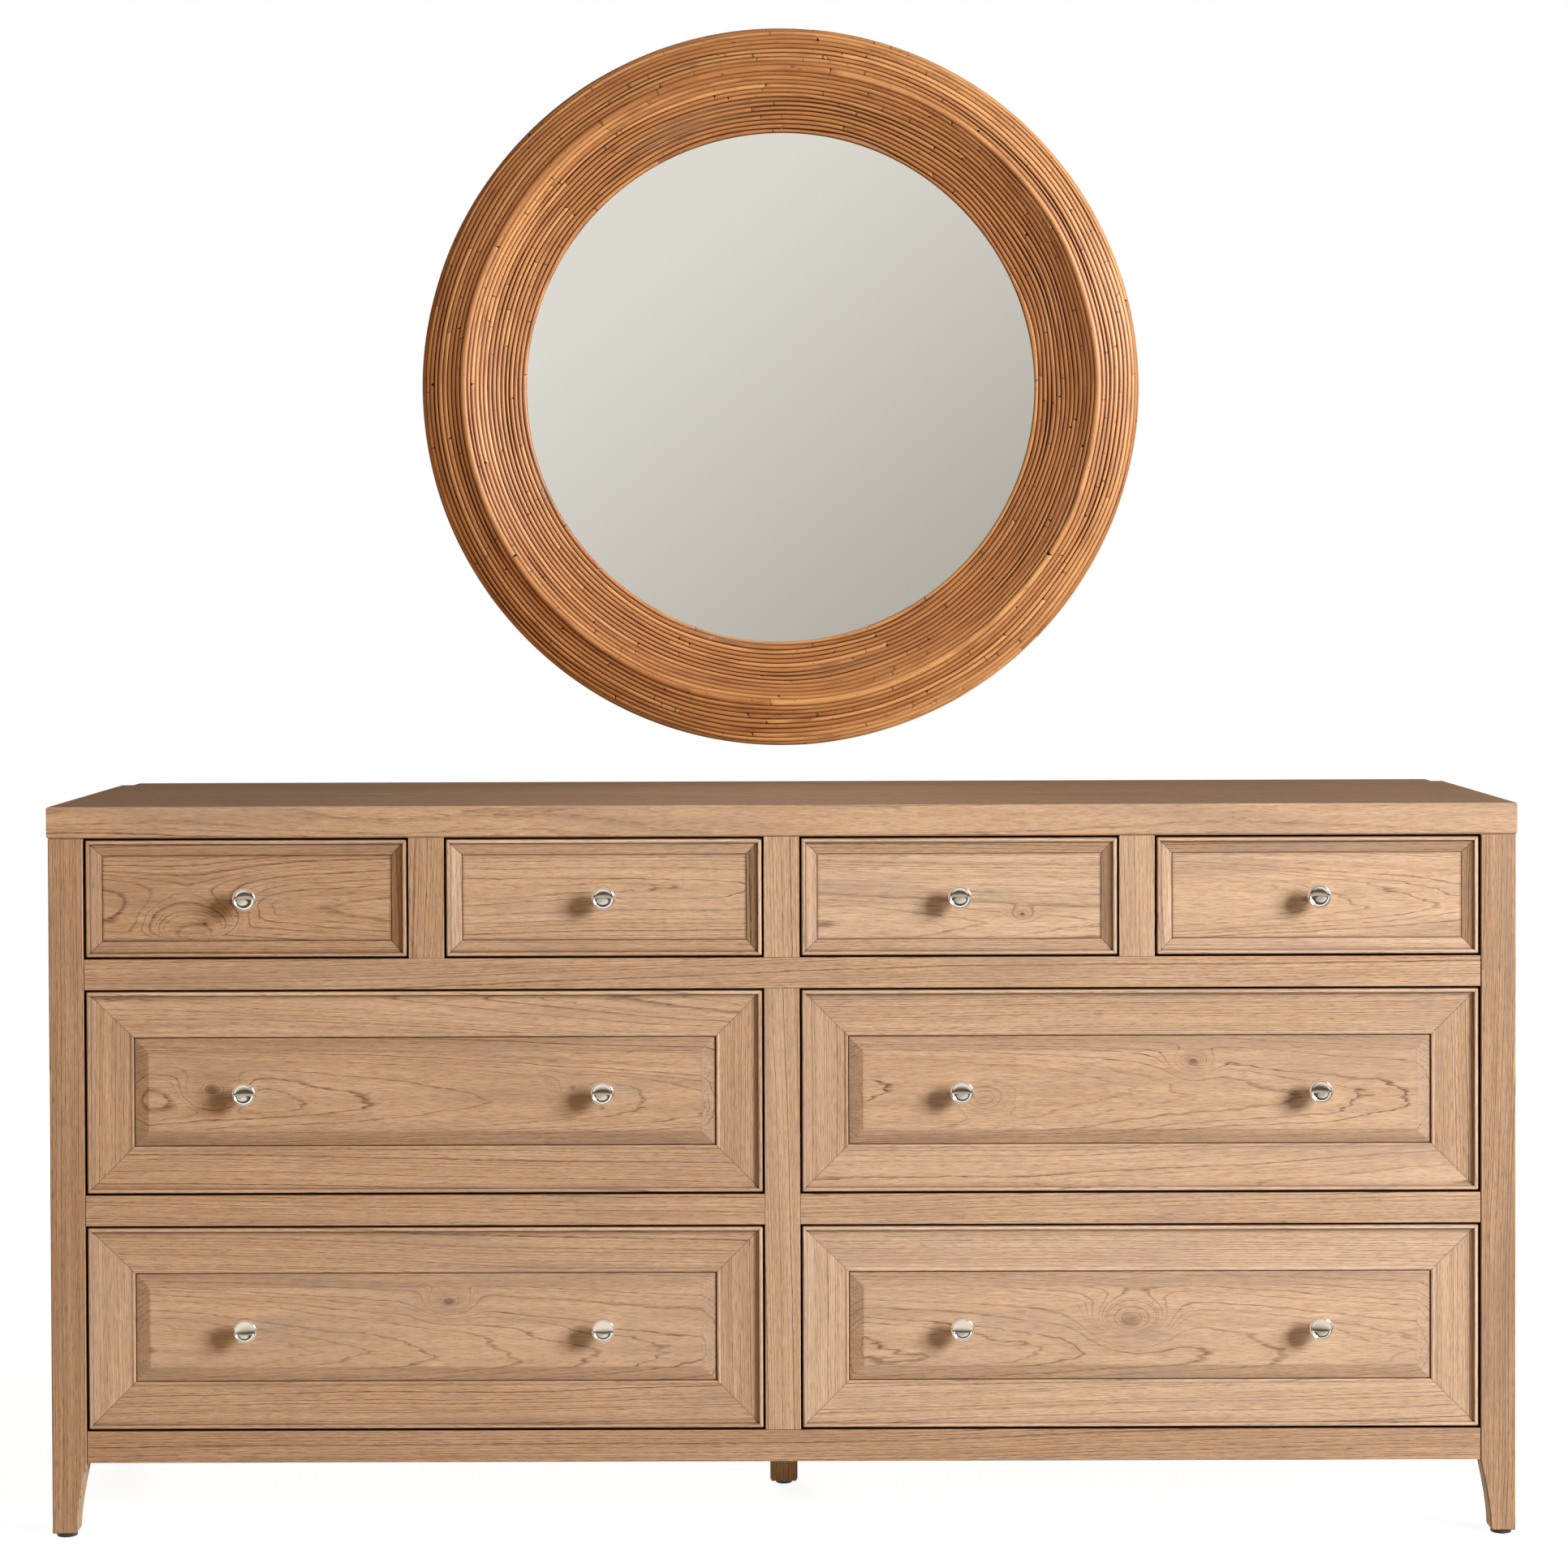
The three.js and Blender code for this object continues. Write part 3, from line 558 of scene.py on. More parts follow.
def fanSwirl(tree, place):
    # Circles through both feet, stretched along the grain. With c the cosine of the angle in which a place
    # sees the feet, its circle's height is half their distance times the root of (1 + c) / (1 - c).
    ways = []
    for x, z in fan["feet"]:
        away = vectors(tree, "SUBTRACT", place, (x * mm, 0, z * mm))
        away = vectors(tree, "MULTIPLY", away, (fan["stretch"], 0, 1))
        ways.append(vectors(tree, "NORMALIZE", away))
    cosine = vectors(tree, "DOT_PRODUCT", ways[0], ways[1], output=1)
    over = maths(tree, "ADD", 1.0, cosine)
    under = maths(tree, "SUBTRACT", 1.0001, cosine)  # a little over one, so that it is never nought
    root = maths(tree, "SQRT", maths(tree, "DIVIDE", over, under))
    reach = (fan["feet"][1][0] - fan["feet"][0][0]) * fan["stretch"] / 2
    falling = maths(tree, "MULTIPLY", root, -reach / fan["fade"])
    height = maths(tree, "EXPONENT", falling)
    return maths(tree, "MULTIPLY", height, fan["bend"] * mm)


def mitreLine(tree):
    # A thin line where two members meet: a place as far from one edge as from the next, outside the panel.
    # Also gives what is 1 outside the panel and 0 on it.
    away = carried(tree, "away", "Vector")
    half = carried(tree, "half", "Vector")
    away = vectors(tree, "ABSOLUTE", away)
    across, _, up = addNode(tree, "SeparateXYZ", {0: vectors(tree, "SUBTRACT", half, away)}).node.outputs
    panelFrom = addNode(tree, "SeparateXYZ", {0: half}, output=1)
    apart = maths(tree, "SUBTRACT", across, up)
    apart = maths(tree, "ABSOLUTE", apart)
    line = ranged(tree, apart, frontLook["mitreLine"])
    nearest = maths(tree, "MINIMUM", across, up)
    outside = maths(tree, "LESS_THAN", nearest, panelFrom)
    return maths(tree, "MULTIPLY", line, outside), outside


def drawerOakSurface(tree):
    # The fronts' oak reads the grain that each member carries, and bends its rings round the knots: a bell
    # of e to the power minus distance squared over size squared, added to the distance from the pith.
    grain, tone, glazeAndShade = carried(tree, "grain", "Vector"), carried(tree, "tone"), carried(tree, "glazeAndShade")
    place = addNode(tree, "TexCoord", output="Object")
    swirl = fanSwirl(tree, place)
    dark, outside = mitreLine(tree)
    for x, z, bend, size, darkness in knots:
        away = vectors(tree, "SUBTRACT", place, (x * mm, 0, z * mm))
        cell = [share / (size * mm) for share in knotLook["stretch"]]
        away = vectors(tree, "MULTIPLY", away, cell)
        squared = vectors(tree, "DOT_PRODUCT", away, away, output=1)
        falling = maths(tree, "MULTIPLY", squared, -1.0)
        bell = maths(tree, "EXPONENT", falling)
        swirl = maths(tree, "MULTIPLY_ADD", bell, bend * mm, swirl)
        core = ranged(tree, squared, (*knotLook["core"], darkness, 0.0))
        dark = maths(tree, "MULTIPLY_ADD", bell, darkness * knotLook["halo"], dark)
        dark = maths(tree, "ADD", dark, core)
    inside = maths(tree, "SUBTRACT", 1.0, outside)
    swirl = maths(tree, "MULTIPLY", swirl, inside)
    # rows above nought lay painted shade, and below nought they lighten the lip's face as a painted highlight
    darkened = maths(tree, "ADD", glazeAndShade, dark, use_clamp=True)
    paintedLipLight = maths(tree, "MULTIPLY", glazeAndShade, -frontLook["lipHighlightGain"], use_clamp=True)
    tone = maths(tree, "ADD", tone, paintedLipLight)
    return oakSurface(tree, grain, tone, swirl, darkened)


drawerOak = makeMaterial("drawerWashedOak", drawerOakSurface)
drawerTones = {
    "top_far_left": -0.05, "top_left": 0.01, "top_right": 0.04, "top_far_right": 0.02,
    "middle_left": -0.01, "middle_right": 0.0, "bottom_left": 0.02, "bottom_right": 0.03,
}
for name, tone in drawerTones.items():
    node = "drawer_front_" + name
    profile = frontProfiles["small" if name.startswith("top") else "large"]
    shell, attributes = mitredFront(name, *corners(node), profile, tone)
    makePiece("front_" + name, shell, drawerOak, standIn(node), 24, attributes, 4)
print("drawer fronts:", len(drawerTones))

# ---- turned pieces ----
knobLook = {
    "sides": 48,
    "profile": [
        (0, 0), (8.2, 0), (8.5, 0.3), (8.5, 1.7), (8.1, 2.4), (7.0, 3.0), (6.2, 4.2), (5.7, 6.0), (5.6, 8.2),
        (5.9, 10.0), (7.0, 11.8), (9.2, 13.4), (12.0, 14.9), (13.9, 16.3), (14.8, 18.0), (15.0, 19.6),
        (14.95, 20.9), (14.75, 22.0), (14.35, 22.9), (13.85, 23.55), (13.45, 23.86), (12.85, 23.97),
        (12.25, 23.86), (11.8, 23.55), (11.1, 23.05), (10.5, 22.66), (9.9, 22.4), (9.3, 22.22), (8.5, 22.04),
        (7.5, 21.86), (6.2, 21.67), (4.8, 21.52), (3.2, 21.4), (1.6, 21.34), (0, 21.32),
    ],
}
glideLook = {"sides": 32, "round": 1.2}
screwLook = {
    "sides": 16, "knobScale": 1.3, "backScale": 0.9,
    "pan": [
        (0, -1.5), (1.8, -1.5), (1.8, 0), (3.4, 0), (3.5, 0.5), (3.0, 1.2), (2.0, 1.7), (1.1, 1.85),
        (1.0, 1.0), (0, 0.9),
    ],
    "flush": [(0, -1.8), (1.5, -1.8), (2.9, -0.1), (3.0, 0.08), (1.1, 0.08), (1.0, -0.9), (0, -1.0)],
}


def revolve(profile, sides, place, axis, scale=1.0):
    # Each profile point goes round a line through place: its radius times cosine and sine of the turn lie
    # across the line, and its height along it. The ends on the line are single corners.
    shape = np.array(profile, float) * mm * scale
    turn = np.arange(sides) * fullTurn / sides
    along = np.array(axis, float)
    side = np.array([1.0, 0, 0]) if abs(along[0]) < 0.5 else np.array([0, 1.0, 0])
    other = np.cross(along, side)
    rim = np.cos(turn)[:, None] * side + np.sin(turn)[:, None] * other
    ringPoints = shape[1:-1, 0, None, None] * rim + shape[1:-1, 1, None, None] * along
    points = np.concatenate([
        [shape[0, 1] * along], ringPoints.reshape(-1, 3), [shape[-1, 1] * along],
    ]) + np.array(place)
    step = np.arange(sides)
    following = (step + 1) % sides
    quads = 1 + ringQuads(len(shape) - 2, sides)
    end = len(points) - 1
    lastRow = end - sides
    start = np.stack([np.zeros(sides, int), 1 + following, 1 + step], -1)
    close = np.stack([np.full(sides, end), lastRow + step, lastRow + following], -1)
    return points, quads.tolist() + start.tolist() + close.tolist()


def makeScrews(name, spots, body, kind="pan"):
    # screw heads as one piece, all turned to the back, from places and scales
    profile, sides = screwLook[kind], screwLook["sides"]
    screws = [revolve(profile, sides, place, (0, 1, 0), scale) for place, scale in spots]
    makePiece(name, joinShells(screws), zinc, (body, "hanger_steel", []))


# Solid brass plated in warm nickel and polished: a mirror, slightly yellow, with very fine swirl marks.
def nickelSurface(tree):
    haze = evenNoise(tree, 380.0, 3.0)
    roughness = ranged(tree, haze, (0.3, 0.7, 0.05, 0.09))
    return {"Base Color": linear("#f4ede2"), "Metallic": 1.0, "Roughness": roughness}


# Zinc plated steel: grey, half bright, clouded where the plating is thin.
def zincSurface(tree):
    cloud = evenNoise(tree, 160.0, 2.0)
    colour = blend(tree, cloud, "#a9abad", "#87898b")
    roughness = ranged(tree, cloud, (0.3, 0.7, 0.3, 0.48))
    return {"Base Color": colour, "Metallic": 1.0, "Roughness": roughness}


# Moulded nylon: near black brown, with the fine matt grain of its mould.
def nylonSurface(tree):
    grit = evenNoise(tree, 900.0, 2.0)
    colour = blend(tree, grit, "#3b2c25", "#2a1f1a")
    bump = addNode(tree, "Bump", {"Strength": 0.4, "Distance": 0.1 * mm, "Height": grit})
    return {"Base Color": colour, "Roughness": 0.58, "Normal": bump, "IOR": 1.53}


nickel = makeMaterial("polishedWarmNickel", nickelSurface)
zinc = makeMaterial("zincPlatedSteel", zincSurface)
nylon = makeMaterial("mouldedNylon", nylonSurface)
knobNodes = [node for node in frame["nodes"] if node.startswith("knob_")]
for node in sorted(knobNodes):
    low, high = corners(node)
    middle = (low + high) / 2
    seat = (middle[0], high[1], middle[2])
    shell = revolve(knobLook["profile"], knobLook["sides"], seat, (0, -1, 0))
    makePiece("turned_" + node, shell, nickel, standIn(node), 50)
for node in sorted(n for n in frame["nodes"] if n.startswith("glide_")):
    low, high = corners(node)
    middle = (low + high) / 2
    radius, height = (high[0] - low[0]) / 2 / mm, (high[2] - low[2]) / mm
    edge = glideLook["round"]
    profile = [(0, 0), (radius - edge, 0), (radius - edge * 0.3, edge * 0.3), (radius, edge)]
    profile += [(radius, height), (0, height)]
    shell = revolve(profile, glideLook["sides"], (*middle[:2], low[2]), (0, 0, 1))
    makePiece("moulded_" + node, shell, nylon, standIn(node))
dressNode("mirror_hanger", zinc, 0.3)
print("knobs:", len(knobNodes))

# ---- drawer boxes ----
boxLook = {
    "wall": 12,
    "floorLift": 10,
    "floor": 6,
    "fit": 0.1,
    "pinTip": 2.6,
    "pinFlare": 1.7,
    "tails": {"small": 3, "large": 5},
    "easing": 0.5,
    "screwInset": 60,
}
wall, tip, flare, fit, lift, inset = (
    boxLook[key] * mm for key in ("wall", "pinTip", "pinFlare", "fit", "floorLift", "screwInset"))


def dovetailLevels(low, high, tails, half):
    # heights where pins and tails meet: each pin reaches half to both sides of its middle, and the outer
    # two are half pins
    middles = np.linspace(low, high, tails + 1)
    levels = np.stack([middles - half, middles + half], -1).reshape(-1)
    levels[0], levels[-1] = low, high
    return levels


def extruded(outline, low, high, axis):
    # a closed outline moved from low to high along x or z: two ends and a quad for each edge
    count = len(outline)
    points = np.zeros((2, count, 3))
    others = [i for i in range(3) if i != axis]
    points[:, :, others] = outline
    points[0, :, axis], points[1, :, axis] = low, high
    step = np.arange(count)
    faces = ringQuads(2, count).tolist() + [step[::-1].tolist(), (step + count).tolist()]
    a, b = outline, np.roll(outline, -1, axis=0)
    if np.sum(a[:, 0] * b[:, 1] - b[:, 0] * a[:, 1]) < 0:
        faces = [face[::-1] for face in faces]
    return points.reshape(-1, 3), faces


def tailBoard(low, high, tails):
    # a drawer side: a rectangle in y and z whose front end has tails, wider at their ends
    atTip = dovetailLevels(low[2], high[2], tails, tip + fit)[1:-1]
    atRoot = dovetailLevels(low[2], high[2], tails, tip + flare + fit)[1:-1]
    root = low[1] + wall + fit
    bends = (root, atRoot[0::2]), (low[1], atTip[0::2]), (low[1], atTip[1::2]), (root, atRoot[1::2])
    zigzag = np.stack([np.stack([np.full(tails, y), z], -1) for y, z in bends], 1).reshape(-1, 2)
    front = np.concatenate([[[root, low[2]]], zigzag, [[root, high[2]]]])
    return np.concatenate([front, [[high[1], high[2]], [high[1], low[2]]]])


def pinBoard(low, high, tails):
    # the front of a box. Its levels cut it into slices, pins and sockets by turns: a pin's slice runs the
    # board's whole length, and a socket's stops a wall's width short of each end.
    outer = dovetailLevels(low[2], high[2], tails, tip)
    inner = dovetailLevels(low[2], high[2], tails, tip + flare)
    across = np.array([low[0], low[0] + wall, high[0] - wall, high[0]])
    count = len(outer)
    points = np.zeros((count, 2, 4, 3))
    points[..., 0] = across
    points[:, 0, :, 1], points[:, 1, :, 1] = low[1], low[1] + wall
    points[:, 0, :, 2], points[:, 1, :, 2] = outer[:, None], inner[:, None]
    at = np.arange(count * 8).reshape(count, 2, 4)
    faces = []
    for level in range(count - 1):
        first, last = (0, 3) if level % 2 == 0 else (1, 2)
        here, above = at[level], at[level + 1]
        for i in range(first, last):
            faces.append([here[0, i], here[0, i + 1], above[0, i + 1], above[0, i]])
            faces.append([here[1, i + 1], here[1, i], above[1, i], above[1, i + 1]])
        faces.append([here[0, first], above[0, first], above[1, first], here[1, first]])
        faces.append([here[0, last], here[1, last], above[1, last], above[0, last]])
        if level:
            for i in (0, 2):
                quad = [here[0, i], here[0, i + 1], here[1, i + 1], here[1, i]]
                faces.append(quad if level % 2 else quad[::-1])
    for i in range(3):
        faces.append([at[0, 1, i], at[0, 1, i + 1], at[0, 0, i + 1], at[0, 0, i]])
        faces.append([at[-1, 0, i], at[-1, 0, i + 1], at[-1, 1, i + 1], at[-1, 1, i]])
    return points.reshape(-1, 3), [[int(corner) for corner in face] for face in faces]


def blockShell(low, high):
    outline = np.array([[low[0], low[1]], [high[0], low[1]], [high[0], high[1]], [low[0], high[1]]])
    return extruded(outline, low[2], high[2], 2)


sideWood = makePlainBoard("drawerSide", "sealedMaple", "YZX")
crossWood = makePlainBoard("drawerCross", "sealedMaple", "XZY")
floorWood = makePlainBoard("drawerFloor", "sealedMaple", "XYZ")
for name in drawerTones:
    node = "drawer_box_" + name
    low, high = corners(node)
    size = "small" if name.startswith("top") else "large"
    tails = boxLook["tails"][size]
    outline = tailBoard(low, high, tails)
    sides = [extruded(outline, start, start + wall, 0) for start in (low[0], high[0] - wall)]
    piece = makePiece("box_sides_" + name, joinShells(sides), sideWood, standIn(node))
    easeEdges(piece, boxLook["easing"], 1, 50)
    back = blockShell((low[0] + wall + fit, high[1] - wall, low[2] + lift), (high[0] - wall - fit, *high[1:]))
    cross = joinShells([pinBoard(low, high, tails), back])
    piece = makePiece("box_cross_" + name, cross, crossWood, standIn(node))
    easeEdges(piece, boxLook["easing"] / 2, 1, 50)
    start, end = low + wall + fit, high - wall - fit
    start[2], end[2] = low[2] + lift, low[2] + lift + boxLook["floor"] * mm
    floor = blockShell(start, end)
    makePiece("box_floor_" + name, floor, floorWood, standIn(node))
    inside, middle = low[1] + wall, (low + high) / 2
    apart = (high[0] - low[0]) / 2 - inset
    spots = [((middle[0] + side * apart, inside, middle[2]), 1.0) for side in (-1, 1)]
    for knob in (knob for knob in knobNodes if bodyOf[knob] == bodyOf[node]):
        seat = sum(corners(knob)) / 2
        spots.append(((seat[0], inside, seat[2]), screwLook["knobScale"]))
    makeScrews("box_screws_" + name, spots, bodyOf[node])
print("drawer boxes:", len(drawerTones))

# ---- the mirror ----
mirrorLook = {
    "diameter": 994, "frameWidth": 144, "crest": 46, "seat": 12.6, "rise": 2.88, "reeds": 26, "crestReed": 11,
    "crestWider": 1.5, "outerWider": 1.06,
    "outer": [(0, 0.09), (0, 0.34), (0.045, 0.54), (0.15, 0.71), (0.27, 0.81), (0.36, 0.94), (0.405, 1)],
    "inner": [(0.45, 0.88), (0.52, 0.71), (0.6, 0.54), (0.72, 0.34), (0.86, 0.153), (1, 0)],
}
# Strips: butt joints and how evenly they lie, the cuts' width and slant, the gaps that open between some,
# the section, and the waves that shift the grooves
stripLook = {
    "sides": 288, "joints": (5, 8), "even": 0.35, "cut": 0.4, "cutAt": 0.0012, "slant": 2.6,
    "gap": 0.12, "openChance": 0.22, "open": (0.6, 1.5),
    "crown": 2.8, "fullness": 0.62, "under": 1.6, "endRound": 0.95, "lift": 0.18, "lifts": (-1, 0.4),
    "swell": 0.05, "swells": (9, 17), "wander": 1.15, "waves": (3, 15), "phase": (0, 6.28),
    "drift": (0.15, 0.5), "wave": (0.4, 1), "face": 6.6, "tag": (0, 40), "grooveShade": (0.6, 1),
    # up to which reed: how dark the strips are painted, lighter on the outer flank as painted light and
    # darker on the inner slope as painted shade, and how much painted shade their grooves show
    "paintedShadeByReed": [(5, -0.6, 0.5), (11, 0.0, 1), (14, 0.0, 0.3), (16, 0.7, 0.3), (26, 0.7, 1)],
}


def reedLine():
    # The line that the reeds lie along, from the wall over the crest to the glass: a uniform Catmull-Rom
    # spline through the shares. Gives its radii and heights, the share walked at each, and its length.
    outer = mirrorLook["diameter"] / 2 - mirrorLook["rise"]
    width = mirrorLook["frameWidth"] - mirrorLook["rise"]
    crest, seat = mirrorLook["crest"], mirrorLook["seat"]
    knots = [(outer - a * width, up * crest) for a, up in mirrorLook["outer"]]
    knots += [(outer - a * width, seat + up * (crest - seat)) for a, up in mirrorLook["inner"]]
    knots = np.array([knots[0], *knots, knots[-1]])
    t = np.linspace(0, len(knots) - 3 - 1e-9, 4001)
    span = t.astype(int)
    u = (t - span)[:, None]
    a, b, c, d = (knots[span + i] for i in range(4))
    second, third = 2 * a - 5 * b + 4 * c - d, 3 * b - a - 3 * c + d
    line = 0.5 * (2 * b + (c - a) * u + second * u ** 2 + third * u ** 3)
    walked = np.concatenate([[0], np.cumsum(np.hypot(*np.diff(line, axis=0).T))])
    return line * mm, walked / walked[-1], walked[-1] * mm


def onLine(line, walked, share):
    # places on the line at shares of its length, and unit vectors square to it, away from the wall
    place, ahead, behind = (
        np.stack([np.interp(share + step, walked, line[:, i]) for i in (0, 1)], -1)
        for step in (0, 0.002, -0.002))
    way = ahead - behind
    way /= np.linalg.norm(way, axis=-1, keepdims=True)
    return place, np.stack([way[..., 1], -way[..., 0]], -1)


def reedEdges():
    # where each reed starts along the line, in shares of its length
    crest = mirrorLook["crestReed"]
    widths = np.ones(mirrorLook["reeds"])
    widths[:crest], widths[crest] = mirrorLook["outerWider"], mirrorLook["crestWider"]
    return np.concatenate([[0], np.cumsum(widths)]) / widths.sum()


def makeWander(length):
    # how far each groove strays at each turn: a few slow sine waves that neighbours share
    shared = seeded("wander")
    spans = [stripLook[key] for key in ("phase", "drift", "wave")]
    waves = [(k, *(shared.uniform(*span) for span in spans)) for k in range(*stripLook["waves"])]

    def wander(edge, turn):
        if edge in (0, mirrorLook["reeds"]):
            return np.zeros_like(turn)
        total = sum(size * np.sin(k * turn + phase + drift * edge) for k, phase, drift, size in waves)
        return total * stripLook["wander"] * mm / 3 / length

    return wander


def stripSection():
    # places across a strip in shares of its width, and their rises: a half round crown, flat underneath
    crownTurn = np.linspace(math.pi, 0, 9)
    across = np.concatenate([np.cos(crownTurn), [0.55, -0.55]]) / 2
    crown = stripLook["crown"] * np.sin(crownTurn) ** stripLook["fullness"]
    return across, np.concatenate([crown, [-stripLook["under"]] * 2]) * mm


def buttJoints(chance):
    # the turns at which each strip of a reed starts and ends
    joints = np.sort(chance.uniform(0, 1, chance.integers(*stripLook["joints"])))
    even = stripLook["even"] * np.arange(len(joints))
    joints = (joints + even) / (1 + even[-1]) * fullTurn + chance.uniform(0, fullTurn)
    return zip(joints, [*joints[1:], joints[0] + fullTurn])


def makeReeds(first, last, line, walked, length, centre, wallY):
    # Each reed is laid in strips, butted end to end. A strip's section is carried round the mirror's axis:
    # its place along the line sets radius and height.
    look, chance, edges, wander = stripLook, seeded("reeds%d" % first), reedEdges(), makeWander(length)
    across, rises = stripSection()
    ringSize = len(across)
    cap = np.arange(ringSize)
    shells, kept = [], {"reed": [], "tone": [], "end": [], "grooveShade": []}
    for reed in range(first, last):
        joints = buttJoints(chance)
        radius = onLine(line, walked, (edges[reed] + edges[reed + 1]) / 2)[0][0]
        tone, depth = next(kind[1:] for kind in look["paintedShadeByReed"] if reed < kind[0])
        for start, end in joints:
            steps = max(4, int((end - start) / fullTurn * look["sides"]))
            t = np.concatenate([[0, look["cutAt"]], np.linspace(0, 1, steps)[1:-1], [1 - look["cutAt"], 1]])
            atEnd = (t == 0) | (t == 1)
            cut = look["cut"] * mm / radius / 2
            slants = chance.uniform(-1, 1, 2) * look["slant"] * mm / radius
            slide = slants[0] * (1 - t) ** 6 + slants[1] * t ** 6
            turn = (start + cut + (end - start - 2 * cut) * t)[:, None] + slide[:, None] * across * 2
            low = edges[reed] + wander(reed, turn[:, :1])
            high = edges[reed + 1] + wander(reed + 1, turn[:, :1])
            gap = look["gap"] * mm / length
            if chance.uniform() < look["openChance"]:
                gap = gap + chance.uniform(*look["open"]) * mm / length * np.sin(t[:, None] * math.pi) ** 4
            share = (low + high) / 2 + (high - low - 2 * gap) * across
            spot, outward = onLine(line, walked, share)
            rounding = np.where(atEnd, look["endRound"], 1)[:, None]
            waved = turn[:, :1] * chance.uniform(*look["swells"]) + chance.uniform(*look["phase"])
            raised = chance.uniform(*look["lifts"]) * look["lift"] * mm * (rises > 0)
            lift = rises * rounding * (1 + look["swell"] * np.sin(waved)) + raised
            spot = spot + outward * lift[..., None]
            x, z = centre[0] - spot[..., 0] * np.sin(turn), centre[2] + spot[..., 0] * np.cos(turn)
            points = np.stack([x, wallY - spot[..., 1], z], -1).reshape(-1, 3)
            caps = [cap[::-1].tolist(), ((len(t) - 1) * ringSize + cap).tolist()]
            shells.append((points, ringQuads(len(t), ringSize).tolist() + caps))
            tag = chance.uniform(*look["tag"])
            wide = np.broadcast_to(across, turn.shape) * look["face"] * mm
            own = np.stack([turn * radius + tag, wide, np.full(turn.shape, tag)], -1)
            kept["reed"].append(own.reshape(-1, 3))
            # each strip's tone spreads at random round the painted darkness set for its reed
            kept["tone"].append(np.full(turn.size, chance.normal(tone, 1.0)))
            kept["end"].append(np.repeat(atEnd, ringSize))
            # how strongly each strip shows painted shade at its edges
            kept["grooveShade"].append(np.full(turn.size, chance.uniform(*look["grooveShade"]) * depth))
    return joinShells(shells), {key: np.concatenate(values) for key, values in kept.items()}


rattanLook = {
    # the groove colour is painted shade between the reeds
    "light": "#dd9e5c", "middle": "#ba7a40", "dark": "#844a24", "grooveShade": "#4e240d", "stain": "#3a1e0f",
    "slow": 0.9, "paler": 0.45,
    # cell of each noise in mm and its detail
    "fibres": ((90, 2.2, 9), 2.0), "patches": ((60, 9, 9), 2.0), "flecks": ((9, 2.2, 9), 1.0),
    "drifts": ((180, 40, 9), 1.0), "bars": ((7, 60, 9), 0.0),
}
rattanSpans = {
    "tone": (-1.2, 1.6, 0.0, 1.4),
    "patches": (0.5, 0.78, 0.0, 0.8),
    "fibres": (0.45, 0.75, 0.0, 0.4),
    "flecks": (0.7, 0.77, 0.0, 0.75),
    "knuckles": (0.775, 0.8, 0.0, 0.7),
    "deepest": (0.36, 0.62, 0.5, 1.0),
    "roughness": (0.0, 0.7, 0.46, 0.85),
    "shine": (0.0, 0.7, 0.5, 0.1),
    "coat": (0.0, 0.5, 0.08, 0.0),
}


# Rattan reed under a clear lacquer: golden brown strips that differ from their neighbours, fine fibres,
# dark flecks and a node ring here and there, and a soft narrow highlight.
def rattanSurface(tree):
    reed, tone = carried(tree, "reed", "Vector"), carried(tree, "tone")
    names = ("fibres", "patches", "flecks", "drifts", "bars")
    fibres, patches, flecks, slow, bars = (stretchedNoise(tree, reed, *rattanLook[name]) for name in names)
    amount = ranged(tree, tone, rattanSpans["tone"])
    amount = maths(tree, "MULTIPLY_ADD", slow, rattanLook["slow"], amount)
    amount = maths(tree, "SUBTRACT", amount, rattanLook["paler"], use_clamp=True)
    colour = blend(tree, amount, rattanLook["light"], rattanLook["middle"])
    for name, noise in (("patches", patches), ("fibres", fibres)):
        colour = blend(tree, ranged(tree, noise, rattanSpans[name]), colour, rattanLook["dark"])
    across = addNode(tree, "SeparateXYZ", {0: reed}, output=1)
    fromMiddle = maths(tree, "ABSOLUTE", across)
    spots = ranged(tree, flecks, rattanSpans["flecks"], True)
    knuckles = ranged(tree, bars, rattanSpans["knuckles"], True)
    depth = carried(tree, "grooveShade")
    deepest = ranged(tree, slow, rattanSpans["deepest"])
    deepest = maths(tree, "MULTIPLY", deepest, depth)
    # the strips' edges, towards the grooves between reeds, get painted shade, and are also rougher and duller
    # there
    paintedGrooveShade = ranged(tree, fromMiddle, (1.5 * mm, 3.2 * mm, 0.0, deepest))
    colour = blend(tree, paintedGrooveShade, colour, rattanLook["grooveShade"])
    for mark in (knuckles, carried(tree, "end")):
        spots = maths(tree, "MAXIMUM", spots, mark)
    colour = blend(tree, spots, colour, rattanLook["stain"])
    bump = addNode(tree, "Bump", {"Strength": 0.2, "Distance": 0.15 * mm, "Height": fibres})
    names = ("roughness", "shine", "coat")
    roughness, shine, coat = (ranged(tree, paintedGrooveShade, rattanSpans[name]) for name in names)
    return {
        "Base Color": colour, "Roughness": roughness, "Normal": bump, "IOR": 1.5,
        "Specular IOR Level": shine, "Coat Weight": coat, "Coat Roughness": 0.25,
    }


# Silvered float glass: a plain mirror, hardly tinted.
def silveredSurface(tree):
    roughness = ranged(tree, evenNoise(tree, 2.5, 1.0), (0.3, 0.7, 0.012, 0.02))
    return {"Base Color": linear("#f7f6f2"), "Metallic": 1.0, "Roughness": roughness}


